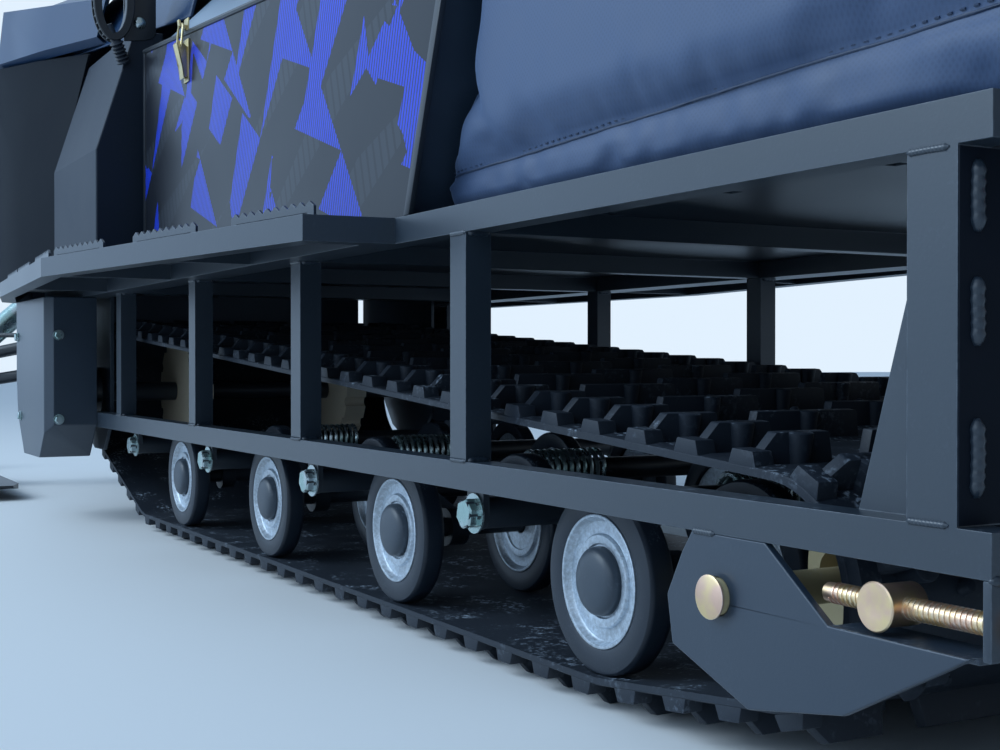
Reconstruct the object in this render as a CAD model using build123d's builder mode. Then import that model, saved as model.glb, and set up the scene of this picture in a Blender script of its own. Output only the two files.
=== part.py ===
"""Utility snowmobile with a wide paddle track, at full size in millimetres.

+X points forward, +Y to the left and +Z up. The floor is Z = 0, and X = 0 is half the length.
"""
from build123d import *
from math import atan2, cos, degrees, hypot, radians, sin, sqrt
import os

os.makedirs("parts", exist_ok=True)

# Side frames of square steel tube
TUBE = 25.0
TRACK_WIDTH = 600.0
TRACK_GAP = 15.0
FRAME_IN = TRACK_WIDTH / 2 + TRACK_GAP
FRAME_HALF = FRAME_IN + TUBE
REAR_X = -1640.0
LOWER_RAIL_Z = 166.0
RAIL_GAP = 200.0
LOWER_TOP = LOWER_RAIL_Z + TUBE
UPPER_RAIL_Z = LOWER_TOP + RAIL_GAP
DECK_Z = UPPER_RAIL_Z + TUBE
LOWER_RAIL_FRONT = 384.0
TUB_REAR_X = 680.0
POST_LEN = 30.0
POST_FRONTS = (-1581.0, -1032.0, -630.0, -226.0, 190.0)
SHEET = 3.0
PLATE = 6.0
FIT = 0.3
DRAIN_X = -1250.0

# Track loop, round four circles: rear idler, rear road wheel, front bend and drive sprocket
BELT = 6.0
LUG_HEIGHT = 22.0
LUG_LEN = 10.0
LUG_ROWS = 68
LUG_SINK = 2.0
BELT_IN_Z = BELT + LUG_HEIGHT
IDLER_X = -1415.0
IDLER_R = 74.0
IDLER_Z = 126.0
BEND_X = 160.0
BEND_R = 100.0
SPROCKET_X = 441.0
SPROCKET_Z = 225.0
SPROCKET_R = 105.0

# Road wheels and their trailing arms
WHEEL_R = 75.0
WHEEL_W = 24.0
TYRE_SIDES = 20
DISC_R = 53.5
CAP_R = 27.5
AXLE_R = 10.0
WHEEL_OUT_Y = TRACK_WIDTH / 2 - 4
WHEEL_IN_Y = 150.0
AXLE_COUNT = 4
AXLE_FIRST_X = -1203.0
AXLE_PITCH = 390.0
PIVOT_Z = 145.0
PIVOT_AHEAD = 150.0
PIVOT_TUBE_R = 14.0
ARM_Y = 226.0
ARM_W = 20.0
ARM_H = 30.0
SPRING_R = 27.0
SPRING_LEN = 110.0

# Running boards: outline points (x, y) from the rail's rear joint round to the nose
BOARD_RISE = TUBE
BOARD_PATH = ((-915.0, FRAME_HALF), (-907.0, 431.0), (-223.0, 538.0), (410.0, 488.0), (620.0, 450.0),
              (TUB_REAR_X, 400.0), (TUB_REAR_X, FRAME_HALF))
# Ribs under the tread sheet, as (x, outer y)
BOARD_RIBS = ((-560.0, 470.0), (-223.0, 520.0), (150.0, 495.0))
RIB_DEPTH = 22.0
STEP_LEN = 168.0
STEP_TEETH = 10
STEP_HEIGHT = 14.0
TOOTH = 5.0
# Step strips along the board's two long outer edges: distances of their middles from the edge's start
STEPS = {"rear": (85.0, 337.0, 595.0), "front": (110.0, 360.0, 545.0)}
STEP_EDGES = {"rear": (BOARD_PATH[1], BOARD_PATH[2]), "front": (BOARD_PATH[2], BOARD_PATH[3])}

# Side panels, firewall and engine cover
PANEL_REAR_LOW = -933.0
PANEL_REAR_TOP = -1029.0
PANEL_REAR_Z = 675.0
PANEL_FRONT = 16.0
PANEL_MID_X = -550.0
PANEL_MID_Z = 710.0
PANEL_FRONT_Z = 754.0
PANEL_Y = FRAME_HALF - 2.0
FIREWALL = 4.0

# Seat
SEAT_FRONT_LOW = -949.0
SEAT_LEAN = 0.40
SEAT_TOP = 750.0
SEAT_HALF = 301.0
SEAT_REAR = -1687.0

# Columns
COLUMN_REAR = 47.0
COLUMN_FRONT = 365.0
COLUMN_OUT = 405.0
COLUMN_IN = 300.0
COLUMN_SEAM_Z = 606.0
COLUMN_TOP_Z = 795.0
COLUMN_TOP_OUT = 345.0

# Nose: belly tub and hood, sections as (x, half width, bottom z, top z)
TUB = ((TUB_REAR_X, 300.0, 200.0, 832.0), (1020.0, 280.0, 220.0, 590.0), (1338.0, 185.0, 360.0, 460.0))
# Hood sections as (x, half width at the bottom, half width at the top, bottom z, top z)
HOOD = ((-67.0, 285.0, 235.0, 800.0, 1010.0), (TUB_REAR_X, 385.0, 240.0, 842.0, 985.0),
        (1020.0, 330.0, 200.0, 600.0, 870.0), (1352.0, 215.0, 140.0, 466.0, 640.0))
HINGE_X = 1352.0
HINGE_Z = 452.0
HINGE_R = 8.0
HINGE_Y = 110.0

# Steering and skis
STEER_TOP = (-217.0, 1030.0)
CRANK_X = 860.0
STEER_FOOT_Z = 372.0
COLUMN_R = 15.0
CRANK_POST_R = 14.0
TUB_FLOOR_Z = 213.0
ROD_SLOT_X = 1010.0
ROD_SLOT_LEN = 160.0
ROD_SLOT_H = 60.0
COWL_TOP_Z = 812.0
EXHAUST_X = 920.0
EXHAUST_Y = -150.0
ARM_REACH = 80.0
STEER_PLATE_Z = 319.0
STEER_PLATE = 12.0
ROD_R = 5.0
EYE_R = 14.0
EYE_H = 12.0
ROD_PIN_R = 5.0
ROD_LEFT_Z = 332.0
ROD_RIGHT_Z = 346.0
SPINDLE_X = 1230.0
SKI_Y = 450.0
SPINDLE_R = 16.0
CARRIER_R = 26.0
CARRIER_LOW = 190.0
CARRIER_TOP = 318.0
SKI_REAR = 800.0
SKI_FRONT = 1800.0
SKI_W = 140.0
SKI_T = 12.0
RUNNER_R = 6.0
RUNNER_LEN = 560.0
SKI_BASE_Z = 2 * RUNNER_R + 6.0
SADDLE_PIN_Z = 84.0


def side_plane(y):
    """Plane at the given Y with X to the right and Z up; extrude by a minus amount to go to +Y."""
    return Plane.XZ.offset(-y)


def both_sides(part):
    """The part and its mirror image about the middle of the vehicle."""
    return [part, part.mirror(Plane.XZ)]


def finish(part, name):
    part.label = name
    export_step(part, f"parts/{name}.step")


def finish_pair(left, name):
    """Write a left-hand part and its mirror image as one node of two solids."""
    with BuildPart() as pair:
        add(both_sides(left))
    finish(pair.part, name)


def make_right(left, name):
    """Write the right-hand twin of a left-hand part."""
    with BuildPart() as right:
        add(left.mirror(Plane.XZ))
    finish(right.part, name)


def tube_between(start, end, radius):
    """A round bar from one point to another."""
    axis = Vector(*end) - Vector(*start)
    with BuildPart(mode=Mode.PRIVATE) as bar:
        with BuildSketch(Plane(origin=start, z_dir=axis)):
            Circle(radius)
        extrude(amount=axis.length)
    return bar.part


steer_top = Vector(STEER_TOP[0], 0, STEER_TOP[1])
steer_foot = Vector(CRANK_X, 0, STEER_FOOT_Z)
steer_axis = (steer_top - steer_foot).normalized()

# Side frames: rails, posts, rear corner gusset and plate, and the plate for the drive shaft's bearing
CORNER_W = 147.0
GUSSET = (60.0, 192.0)
BEARING_PLATE = ((336.0, DECK_Z - SHEET), (TUB_REAR_X - 5, DECK_Z - SHEET), (TUB_REAR_X - 5, 330.0), (521.0, 150.0),
                 (461.0, 122.0), (391.0, 122.0), (336.0, 180.0))
BEARING_R = 45.0
with BuildPart() as side_frame_left:
    with BuildSketch(side_plane(FRAME_IN)):
        with Locations(((REAR_X + LOWER_RAIL_FRONT) / 2, LOWER_RAIL_Z + TUBE / 2)):
            Rectangle(LOWER_RAIL_FRONT - REAR_X, TUBE)
        with Locations(((REAR_X + TUB_REAR_X) / 2, UPPER_RAIL_Z + TUBE / 2)):
            Rectangle(TUB_REAR_X - REAR_X, TUBE)
        for front in POST_FRONTS:
            with Locations((front - POST_LEN / 2, (LOWER_TOP + UPPER_RAIL_Z) / 2)):
                Rectangle(POST_LEN, RAIL_GAP)
    extrude(amount=-TUBE)
    with BuildSketch(side_plane(FRAME_IN)):
        with BuildLine():
            Polyline((POST_FRONTS[0], LOWER_TOP), (POST_FRONTS[0] + GUSSET[0], LOWER_TOP),
                     (POST_FRONTS[0], LOWER_TOP + GUSSET[1]), close=True)
        make_face()
    extrude(amount=-SHEET)
    corner_x = POST_FRONTS[0] - POST_LEN - PLATE / 2
    with Locations((corner_x, FRAME_HALF - CORNER_W / 2, (LOWER_TOP + UPPER_RAIL_Z) / 2)):
        Box(PLATE, CORNER_W, RAIL_GAP)
    with BuildSketch(side_plane(FRAME_IN - PLATE)):
        with BuildLine():
            Polyline(*BEARING_PLATE, close=True)
        make_face()
    extrude(amount=-PLATE)
    with BuildSketch(side_plane(FRAME_IN)):
        with Locations((SPROCKET_X, SPROCKET_Z)):
            Circle(BEARING_R)
    extrude(amount=-2 * PLATE)
finish(side_frame_left.part, "side_frame_left")
make_right(side_frame_left.part, "side_frame_right")

# Deck: cross tubes between the upper rails, under a sheet with small square drain holes
with BuildPart() as deck:
    for front in POST_FRONTS:
        with Locations((front - POST_LEN / 2, 0, UPPER_RAIL_Z + (TUBE - SHEET) / 2)):
            Box(TUBE, 2 * FRAME_IN, TUBE - SHEET)
    with BuildSketch(Plane.XY.offset(DECK_Z - SHEET)):
        with Locations(((REAR_X + TUB_REAR_X) / 2, 0)):
            Rectangle(TUB_REAR_X - REAR_X, 2 * FRAME_IN)
        with Locations((DRAIN_X, 0)):
            with GridLocations(180, 400, 3, 2):
                Rectangle(14, 14, mode=Mode.SUBTRACT)
    extrude(amount=SHEET)
finish(deck.part, "deck")

# Step strip with teeth on its upper edge and a tab at each end, outline as (along, height)
TAB = 12.0
STRIP_CLEAR = 3.0
strip_edge = STEP_LEN / 2
tooth_pitch = STEP_LEN / STEP_TEETH
STRIP = [(TAB - strip_edge, STRIP_CLEAR), (TAB - strip_edge, -1), (-strip_edge, -1), (-strip_edge, STEP_HEIGHT - TOOTH)]
for number in range(STEP_TEETH):
    STRIP += [((number + 0.5) * tooth_pitch - strip_edge, STEP_HEIGHT),
              ((number + 1) * tooth_pitch - strip_edge, STEP_HEIGHT - TOOTH)]
STRIP += [(strip_edge, -1), (strip_edge - TAB, -1), (strip_edge - TAB, STRIP_CLEAR)]

# Running board: outer tube with a thin tread sheet on top and ribs underneath
with BuildPart() as running_board_left:
    with BuildSketch(Plane.XY.offset(UPPER_RAIL_Z)) as board_outline:
        with BuildLine():
            Polyline(*BOARD_PATH, close=True)
        make_face()
    extrude(amount=BOARD_RISE)
    with BuildSketch(Plane.XY.offset(UPPER_RAIL_Z)):
        add(board_outline.sketch)
        offset(amount=-TUBE, kind=Kind.INTERSECTION)
    extrude(amount=BOARD_RISE - SHEET, mode=Mode.SUBTRACT)
    for rib_x, rib_out in BOARD_RIBS:
        with Locations((rib_x, (FRAME_HALF + rib_out) / 2, DECK_Z - (SHEET + RIB_DEPTH) / 2)):
            Box(PLATE, rib_out - FRAME_HALF, RIB_DEPTH)
    for edge, ((x0, y0), (x1, y1)) in STEP_EDGES.items():
        run = hypot(x1 - x0, y1 - y0)
        ux, uy = (x1 - x0) / run, (y1 - y0) / run
        for along in STEPS[edge]:
            middle = (x0 + ux * along + uy * TUBE / 2, y0 + uy * along - ux * TUBE / 2, DECK_Z)
            with BuildSketch(Plane(origin=middle, x_dir=(ux, uy, 0), z_dir=(uy, -ux, 0))):
                with BuildLine():
                    Polyline(*STRIP, close=True)
                make_face()
    extrude(amount=SHEET)
finish_pair(running_board_left.part, "running_boards")


# Track loop
def loop_segments(extra):
    """Lines and arcs of the belt round its circles, run forward along the floor first."""
    circles = ((IDLER_X, IDLER_Z, IDLER_R + extra), (AXLE_FIRST_X, BELT_IN_Z + WHEEL_R, WHEEL_R + extra),
               (BEND_X, BELT_IN_Z + BEND_R, BEND_R + extra), (SPROCKET_X, SPROCKET_Z, SPROCKET_R + extra))
    normals = []
    for (xa, za, ra), (xb, zb, rb) in zip(circles, circles[1:] + circles[:1]):
        gap = hypot(xb - xa, zb - za)
        dx, dz = (xb - xa) / gap, (zb - za) / gap
        lean = (ra - rb) / gap
        side = sqrt(1 - lean * lean)
        normals.append((dx * lean + dz * side, dz * lean - dx * side))
    segments = []
    for number, (x, z, r) in enumerate(circles):
        nx, nz = normals[number]
        ax, az = normals[number - 1]
        start = degrees(atan2(az, ax))
        sweep_angle = (degrees(atan2(nz, nx)) - start) % 360
        segments.append(("arc", x, z, r, start, sweep_angle))
        xb, zb, rb = circles[(number + 1) % len(circles)]
        segments.append(("line", x + r * nx, z + r * nz, xb + rb * nx, zb + rb * nz, nx, nz))
    return segments


def loop_length(extra):
    total = 0.0
    for segment in loop_segments(extra):
        if segment[0] == "arc":
            total += segment[3] * radians(segment[5])
        else:
            total += hypot(segment[3] - segment[1], segment[4] - segment[2])
    return total


def loop_place(extra, distance):
    """Point on the loop and the outward angle in degrees at a distance along it."""
    for segment in loop_segments(extra):
        if segment[0] == "arc":
            length = segment[3] * radians(segment[5])
            if distance <= length:
                angle = segment[4] + degrees(distance / segment[3])
                return (segment[1] + segment[3] * cos(radians(angle)),
                        segment[2] + segment[3] * sin(radians(angle)), angle)
        else:
            length = hypot(segment[3] - segment[1], segment[4] - segment[2])
            if distance <= length:
                share = distance / length
                return (segment[1] + share * (segment[3] - segment[1]),
                        segment[2] + share * (segment[4] - segment[2]),
                        degrees(atan2(segment[6], segment[5])))
        distance -= length
    raise ValueError("distance is past the loop's end")


def loop_wire(extra):
    """Draw the loop in the current line builder."""
    for segment in loop_segments(extra):
        if segment[0] == "arc":
            CenterArc((segment[1], segment[2]), segment[3], segment[4], segment[5])
        else:
            Line((segment[1], segment[2]), (segment[3], segment[4]))


# Paddle plates of a row across the track, as (foot's first y, foot's last y, top's first y, top's last y)
EDGE = TRACK_WIDTH / 2
EDGE_PLATES = ((EDGE - 78, EDGE - 5, EDGE - 73, EDGE - 26), (5 - EDGE, 78 - EDGE, 26 - EDGE, 73 - EDGE))
INNER_PLATES = (((-57.0, 57.0, -53.0, 53.0),), ((80.0, 190.0, 84.0, 186.0), (-190.0, -80.0, -186.0, -84.0)))

with BuildPart() as track:
    with BuildSketch(Plane.XZ):
        with BuildLine():
            loop_wire(BELT)
        make_face()
        with BuildSketch(Plane.XY, mode=Mode.PRIVATE) as belt_inside:
            with BuildLine():
                loop_wire(0)
            make_face()
        add(belt_inside.sketch, mode=Mode.SUBTRACT)
    extrude(amount=TRACK_WIDTH / 2, both=True)
    lug_pitch = loop_length(BELT) / LUG_ROWS
    for row in range(LUG_ROWS):
        lug_x, lug_z, lug_angle = loop_place(BELT, (row + 0.5) * lug_pitch)
        out_x, out_z = cos(radians(lug_angle)), sin(radians(lug_angle))
        back_face = (lug_x - out_z * LUG_LEN / 2, 0, lug_z + out_x * LUG_LEN / 2)
        with BuildSketch(Plane(origin=back_face, x_dir=(0, 1, 0), z_dir=(out_z, 0, -out_x))):
            for plates in (EDGE_PLATES, INNER_PLATES[row % 2]):
                for foot_in, foot_out, top_in, top_out in plates:
                    with BuildLine():
                        Polyline((foot_in, -LUG_SINK), (foot_out, -LUG_SINK), (top_out, LUG_HEIGHT),
                                 (top_in, LUG_HEIGHT), close=True)
                    make_face()
    extrude(amount=LUG_LEN)
finish(track.part, "track")

# Road wheels: rubber tyres, pressed discs and their axles
axle_xs = [AXLE_FIRST_X + AXLE_PITCH * number for number in range(AXLE_COUNT)]
wheel_ys = [side * (face - WHEEL_W / 2) for face in (WHEEL_OUT_Y, WHEEL_IN_Y) for side in (1, -1)]
AXLE_Z = BELT_IN_Z + WHEEL_R + FIT
DISC_HUB = 6.0
CAP_Y = WHEEL_OUT_Y - WHEEL_W / 2 + DISC_HUB + FIT
with BuildPart() as wheel_tyre:
    with BuildSketch(side_plane(-WHEEL_W / 2)):
        RegularPolygon(WHEEL_R, TYRE_SIDES)
        RegularPolygon(DISC_R, TYRE_SIDES, major_radius=False, mode=Mode.SUBTRACT)
    extrude(amount=-WHEEL_W)
with BuildPart() as wheel_disc:
    with BuildSketch(Plane.XY):
        with BuildLine():
            Polyline((AXLE_R + FIT, -DISC_HUB), (DISC_R - FIT, -DISC_HUB), (DISC_R - FIT, WHEEL_W / 2 - 1),
                     (DISC_R - 3, WHEEL_W / 2 - 1), (DISC_R - 6, 5), (CAP_R + 10, 5), (CAP_R + 9, 8), (CAP_R + 1.5, 8),
                     (CAP_R + 1.5, DISC_HUB), (AXLE_R + FIT, DISC_HUB), close=True)
        make_face()
    revolve(axis=Axis.Y)
with BuildPart() as wheel_cap:
    with BuildSketch(Plane.XY):
        with BuildLine():
            Polyline((0, 0), (CAP_R, 0), (CAP_R, 5), (CAP_R - 4, 9), (CAP_R - 13, 12), (0, 13), close=True)
        make_face()
    revolve(axis=Axis.Y)
with BuildPart() as road_wheel_tyres:
    for x in axle_xs:
        for y in wheel_ys:
            add(Pos(x, y, AXLE_Z) * wheel_tyre.part)
finish(road_wheel_tyres.part, "road_wheel_tyres")
with BuildPart() as road_wheel_discs:
    for x in axle_xs:
        for y in wheel_ys:
            add(Pos(x, y, AXLE_Z) * wheel_disc.part.mirror(Plane.XZ) if y < 0
                else Pos(x, y, AXLE_Z) * wheel_disc.part)
finish(road_wheel_discs.part, "road_wheel_discs")

with BuildPart() as road_wheel_axles:
    for x in axle_xs:
        with Locations(Location((x, 0, AXLE_Z), (90, 0, 0))):
            Cylinder(AXLE_R, 2 * (CAP_Y + 2))
        add(both_sides(Pos(x, CAP_Y, AXLE_Z) * wheel_cap.part))
finish(road_wheel_axles.part, "road_wheel_axles")

# Pivot shafts on ears that hang under the lower rails, with bolt heads outside
pivot_xs = [x + PIVOT_AHEAD for x in axle_xs]
EAR_W = 30.0
with BuildPart() as pivot_shafts:
    for x in pivot_xs:
        with Locations(Location((x, 0, PIVOT_Z), (90, 0, 0))):
            Cylinder(PIVOT_TUBE_R, 2 * (FRAME_HALF - 20))
        for side in (1, -1):
            with Locations((x, side * (FRAME_HALF - 17), (LOWER_RAIL_Z + PIVOT_Z) / 2)):
                Box(EAR_W, PLATE, LOWER_RAIL_Z - PIVOT_Z)
            with Locations(Location((x, side * (FRAME_HALF - 17), PIVOT_Z), (90, 0, 0))):
                Cylinder(EAR_W / 2, PLATE)
            with Locations(Location((x, side * (FRAME_HALF - 12), PIVOT_Z), (90, 0, 0))):
                Cylinder(12, 4)
            with BuildSketch(side_plane(side * (FRAME_HALF - 10))):
                with Locations((x, PIVOT_Z)):
                    RegularPolygon(11, 6, major_radius=False)
            extrude(amount=-side * 8)
finish(pivot_shafts.part, "pivot_shafts")

# Trailing arms from the pivot shafts back to the axles
ARM_BOSS = 20.0
with BuildPart() as trailing_arms:
    for x in axle_xs:
        for side in (1, -1):
            with BuildSketch(side_plane(side * ARM_Y)):
                with Locations((x, AXLE_Z)):
                    Circle(ARM_BOSS)
                with Locations((x + PIVOT_AHEAD, PIVOT_Z)):
                    Circle(PIVOT_TUBE_R + 5)
                with BuildLine():
                    Polyline((x, AXLE_Z - ARM_H / 2), (x + PIVOT_AHEAD, PIVOT_Z - ARM_H / 2),
                             (x + PIVOT_AHEAD, PIVOT_Z + ARM_H / 2), (x, AXLE_Z + ARM_H / 2), close=True)
                make_face()
                with Locations((x, AXLE_Z)):
                    Circle(AXLE_R + FIT, mode=Mode.SUBTRACT)
                with Locations((x + PIVOT_AHEAD, PIVOT_Z)):
                    Circle(PIVOT_TUBE_R + FIT, mode=Mode.SUBTRACT)
            extrude(amount=ARM_W / 2, both=True)
finish(trailing_arms.part, "trailing_arms")

# Torsion springs round the pivot shafts
with BuildPart() as suspension_springs:
    for x in pivot_xs:
        with BuildSketch(side_plane(-SPRING_LEN / 2)):
            with Locations((x, PIVOT_Z)):
                Circle(SPRING_R)
                Circle(PIVOT_TUBE_R + FIT, mode=Mode.SUBTRACT)
        extrude(amount=-SPRING_LEN)
finish(suspension_springs.part, "suspension_springs")

# Drive sprockets on their shaft
SHAFT_R = 16.0
SPROCKET_YS = (-150.0, 150.0)
SPROCKET_W = 40.0
SPROCKET_TEETH = 15
with BuildPart() as drive_sprockets:
    with Locations(Location((SPROCKET_X, 0, SPROCKET_Z), (90, 0, 0))):
        Cylinder(SHAFT_R, 2 * (FRAME_IN - PLATE - FIT))
    for y in SPROCKET_YS:
        with BuildSketch(side_plane(y)):
            with Locations((SPROCKET_X, SPROCKET_Z)):
                Circle(SPROCKET_R - FIT)
                with PolarLocations(SPROCKET_R, SPROCKET_TEETH):
                    Circle(9, mode=Mode.SUBTRACT)
        extrude(amount=SPROCKET_W / 2, both=True)
finish(drive_sprockets.part, "drive_sprockets")

# Rear idlers on their axle, cheek plates and tensioners
IDLER_YS = (-185.0, -60.0, 60.0, 185.0)
IDLER_W = 28.0
IDLER_AXLE_R = 12.0
CHEEK_Y = FRAME_HALF - PLATE
with BuildPart() as rear_idlers:
    with Locations(Location((IDLER_X, 0, IDLER_Z), (90, 0, 0))):
        Cylinder(IDLER_AXLE_R, 2 * (FRAME_HALF + 6))
    for y in IDLER_YS:
        with BuildSketch(side_plane(y)):
            with Locations((IDLER_X, IDLER_Z)):
                Circle(IDLER_R - FIT)
                with PolarLocations(46, 5):
                    Circle(15, mode=Mode.SUBTRACT)
        extrude(amount=IDLER_W / 2, both=True)
finish(rear_idlers.part, "rear_idlers")

CHEEK = ((-1360.0, 120.0), (-1377.0, 151.0), (-1388.0, LOWER_RAIL_Z), (-1462.0, LOWER_RAIL_Z), (-1519.0, 124.0),
         (-1626.0, 124.0), (-1608.0, 114.0), (-1532.0, 74.0), (-1446.0, 59.0), (-1366.0, 87.0))
LIP_W = 28.0
with BuildPart() as cheek_left:
    with BuildSketch(side_plane(CHEEK_Y)):
        with BuildLine():
            Polyline(*CHEEK, close=True)
        make_face()
        with Locations((IDLER_X, IDLER_Z)):
            Circle(IDLER_AXLE_R + FIT, mode=Mode.SUBTRACT)
    extrude(amount=-PLATE)
    with Locations(((CHEEK[4][0] + CHEEK[5][0]) / 2, CHEEK_Y - LIP_W / 2, 124 - 2)):
        Box(CHEEK[4][0] - CHEEK[5][0], LIP_W, 4)
finish_pair(cheek_left.part, "idler_cheeks")

ROD_Z = 140.0
ROD_LEN = 150.0
TENSION_PIN_X = REAR_X + 86.0
TENSION_PIN_R = 12.5
TENSION_Y = FRAME_HALF - 18.0
END_PLATE = 6.0
with BuildPart() as tensioner_left:
    with Locations(Location((REAR_X - 10 + ROD_LEN / 2, TENSION_Y, ROD_Z), (0, 90, 0))):
        Cylinder(6, ROD_LEN)
    with Locations(Location((TENSION_PIN_X, TENSION_Y, ROD_Z), (90, 0, 0))):
        Cylinder(TENSION_PIN_R, 30)
    with Locations((REAR_X + END_PLATE / 2, TENSION_Y, (LOWER_RAIL_Z + 124) / 2)):
        Box(END_PLATE, 36, LOWER_RAIL_Z - 124)
    with BuildSketch(Plane.YZ.offset(REAR_X)):
        with Locations((TENSION_Y, ROD_Z)):
            RegularPolygon(10, 6, major_radius=False)
    extrude(amount=-10)
finish_pair(tensioner_left.part, "tensioners")

# Front guards: faceted sheet boxes over the ends of the drive shaft
GUARD_OUT = 427.0
GUARD = ((330.0, UPPER_RAIL_Z), (617.0, UPPER_RAIL_Z), (617.0, 300.0), (590.0, 180.0), (530.0, 112.0),
         (385.0, 112.0), (330.0, 170.0))
with BuildPart() as front_guard_left:
    with BuildSketch(side_plane(FRAME_HALF)):
        with BuildLine():
            Polyline(*GUARD, close=True)
        make_face()
    extrude(amount=-(GUARD_OUT - FRAME_HALF))
    chamfer(front_guard_left.faces().sort_by(Axis.Y)[-1].edges().filter_by(Axis.Z), 14)
    offset(amount=-SHEET, openings=front_guard_left.faces().sort_by(Axis.Y)[0], kind=Kind.INTERSECTION)
finish_pair(front_guard_left.part, "front_guards")


def panel_top(x):
    """Height of a side panel's top edge ahead of its middle corner."""
    return PANEL_MID_Z + (PANEL_FRONT_Z - PANEL_MID_Z) * (x - PANEL_MID_X) / (PANEL_FRONT - PANEL_MID_X)


# Side panels
with BuildPart() as side_panel_left:
    with BuildSketch(side_plane(PANEL_Y - SHEET)):
        with BuildLine():
            Polyline((PANEL_REAR_LOW, DECK_Z), (PANEL_FRONT, DECK_Z), (PANEL_FRONT, PANEL_FRONT_Z),
                     (PANEL_MID_X, PANEL_MID_Z), (PANEL_REAR_TOP, PANEL_REAR_Z), close=True)
        make_face()
    extrude(amount=-SHEET)
finish_pair(side_panel_left.part, "side_panels")

# Firewall between the engine bay and the seat
with BuildPart() as firewall:
    with BuildSketch(side_plane(0)):
        with BuildLine():
            Polyline((PANEL_REAR_LOW, DECK_Z), (PANEL_REAR_TOP, PANEL_REAR_Z),
                     (PANEL_REAR_TOP + FIREWALL, PANEL_REAR_Z), (PANEL_REAR_LOW + FIREWALL, DECK_Z), close=True)
        make_face()
    extrude(amount=PANEL_Y - SHEET, both=True)
finish(firewall.part, "firewall")

# Engine, one plain block in the bay
ENGINE_X = -500.0
ENGINE = (430.0, 420.0, 220.0)
with BuildPart() as engine_block:
    with Locations((ENGINE_X, 0, DECK_Z + ENGINE[2] / 2)):
        Box(*ENGINE)
finish(engine_block.part, "engine_block")

# Engine cover: sections as (x, half width at the bottom, half width at the top, bottom z, top z)
COVER_FRONT = -82.0
COVER = ((PANEL_REAR_TOP, PANEL_Y, 235.0, PANEL_REAR_Z + FIT, 765.0),
         (PANEL_MID_X, PANEL_Y, 230.0, PANEL_MID_Z + FIT, 800.0),
         (COVER_FRONT, PANEL_Y, 225.0, panel_top(COVER_FRONT) + FIT, 860.0))
FUEL_CAP_X = -700.0


def cover_slope(x):
    """Rise of the engine cover's top per millimetre forward."""
    first = 0 if x < COVER[1][0] else 1
    return (COVER[first + 1][4] - COVER[first][4]) / (COVER[first + 1][0] - COVER[first][0])


def cover_top(x):
    """Height of the engine cover's top."""
    return COVER[1][4] + cover_slope(x) * (x - COVER[1][0])


def shell_loft(rows, wall):
    """Ruled loft through trapezoid sections across the vehicle, hollowed from below by the wall."""
    for shrink, mode in ((0, Mode.ADD), (wall, Mode.SUBTRACT)):
        sections = []
        for number, (x, low_half, top_half, low, top) in enumerate(rows):
            end = shrink if number == 0 else -shrink if number == len(rows) - 1 else 0
            with BuildSketch(Plane.YZ.offset(x + end), mode=Mode.PRIVATE) as section:
                with BuildLine():
                    Polyline((low_half - shrink, low - shrink), (top_half - shrink, top - shrink),
                             (shrink - top_half, top - shrink), (shrink - low_half, low - shrink), close=True)
                make_face()
            sections.append(section.sketch.faces()[0])
        loft(sections, ruled=True, mode=mode)


with BuildPart() as engine_cover:
    shell_loft(COVER, SHEET)
finish(engine_cover.part, "engine_cover")

with BuildPart() as fuel_cap:
    cap_seat = (FUEL_CAP_X, 120, cover_top(FUEL_CAP_X))
    with BuildSketch(Plane(origin=cap_seat, z_dir=(-cover_slope(FUEL_CAP_X), 0, 1))):
        Circle(38)
    extrude(amount=22, taper=6)
finish(fuel_cap.part, "fuel_cap")

# Columns: faceted sheet boxes beside the front of the engine bay
with BuildPart() as column_left:
    with BuildSketch(Plane.YZ.offset(COLUMN_REAR)):
        with BuildLine():
            Polyline((COLUMN_IN, DECK_Z), (COLUMN_OUT, DECK_Z), (COLUMN_OUT, COLUMN_SEAM_Z),
                     (COLUMN_TOP_OUT, COLUMN_TOP_Z), (COLUMN_IN, COLUMN_TOP_Z), close=True)
        make_face()
    extrude(amount=COLUMN_FRONT - COLUMN_REAR)
    offset(amount=-SHEET, openings=column_left.faces().sort_by(Axis.Y)[0], kind=Kind.INTERSECTION)
finish_pair(column_left.part, "columns")


# Belly tub of the nose, open at the top and slotted for the tie rods
def tub_loft(shrink, raise_top, mode):
    """Ruled loft through the tub's sections, drawn in by the wall."""
    sections = []
    for number, (x, half, low, top) in enumerate(TUB):
        end = shrink if number == 0 else -shrink if number == len(TUB) - 1 else 0
        with BuildSketch(Plane.YZ.offset(x + end), mode=Mode.PRIVATE) as section:
            with BuildLine():
                Polyline((half - shrink, low + shrink + 40), (half - shrink, top + raise_top),
                         (shrink - half, top + raise_top), (shrink - half, low + shrink + 40),
                         (shrink + 40 - half, low + shrink), (half - shrink - 40, low + shrink), close=True)
            make_face()
        sections.append(section.sketch.faces()[0])
    loft(sections, ruled=True, mode=mode)


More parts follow.
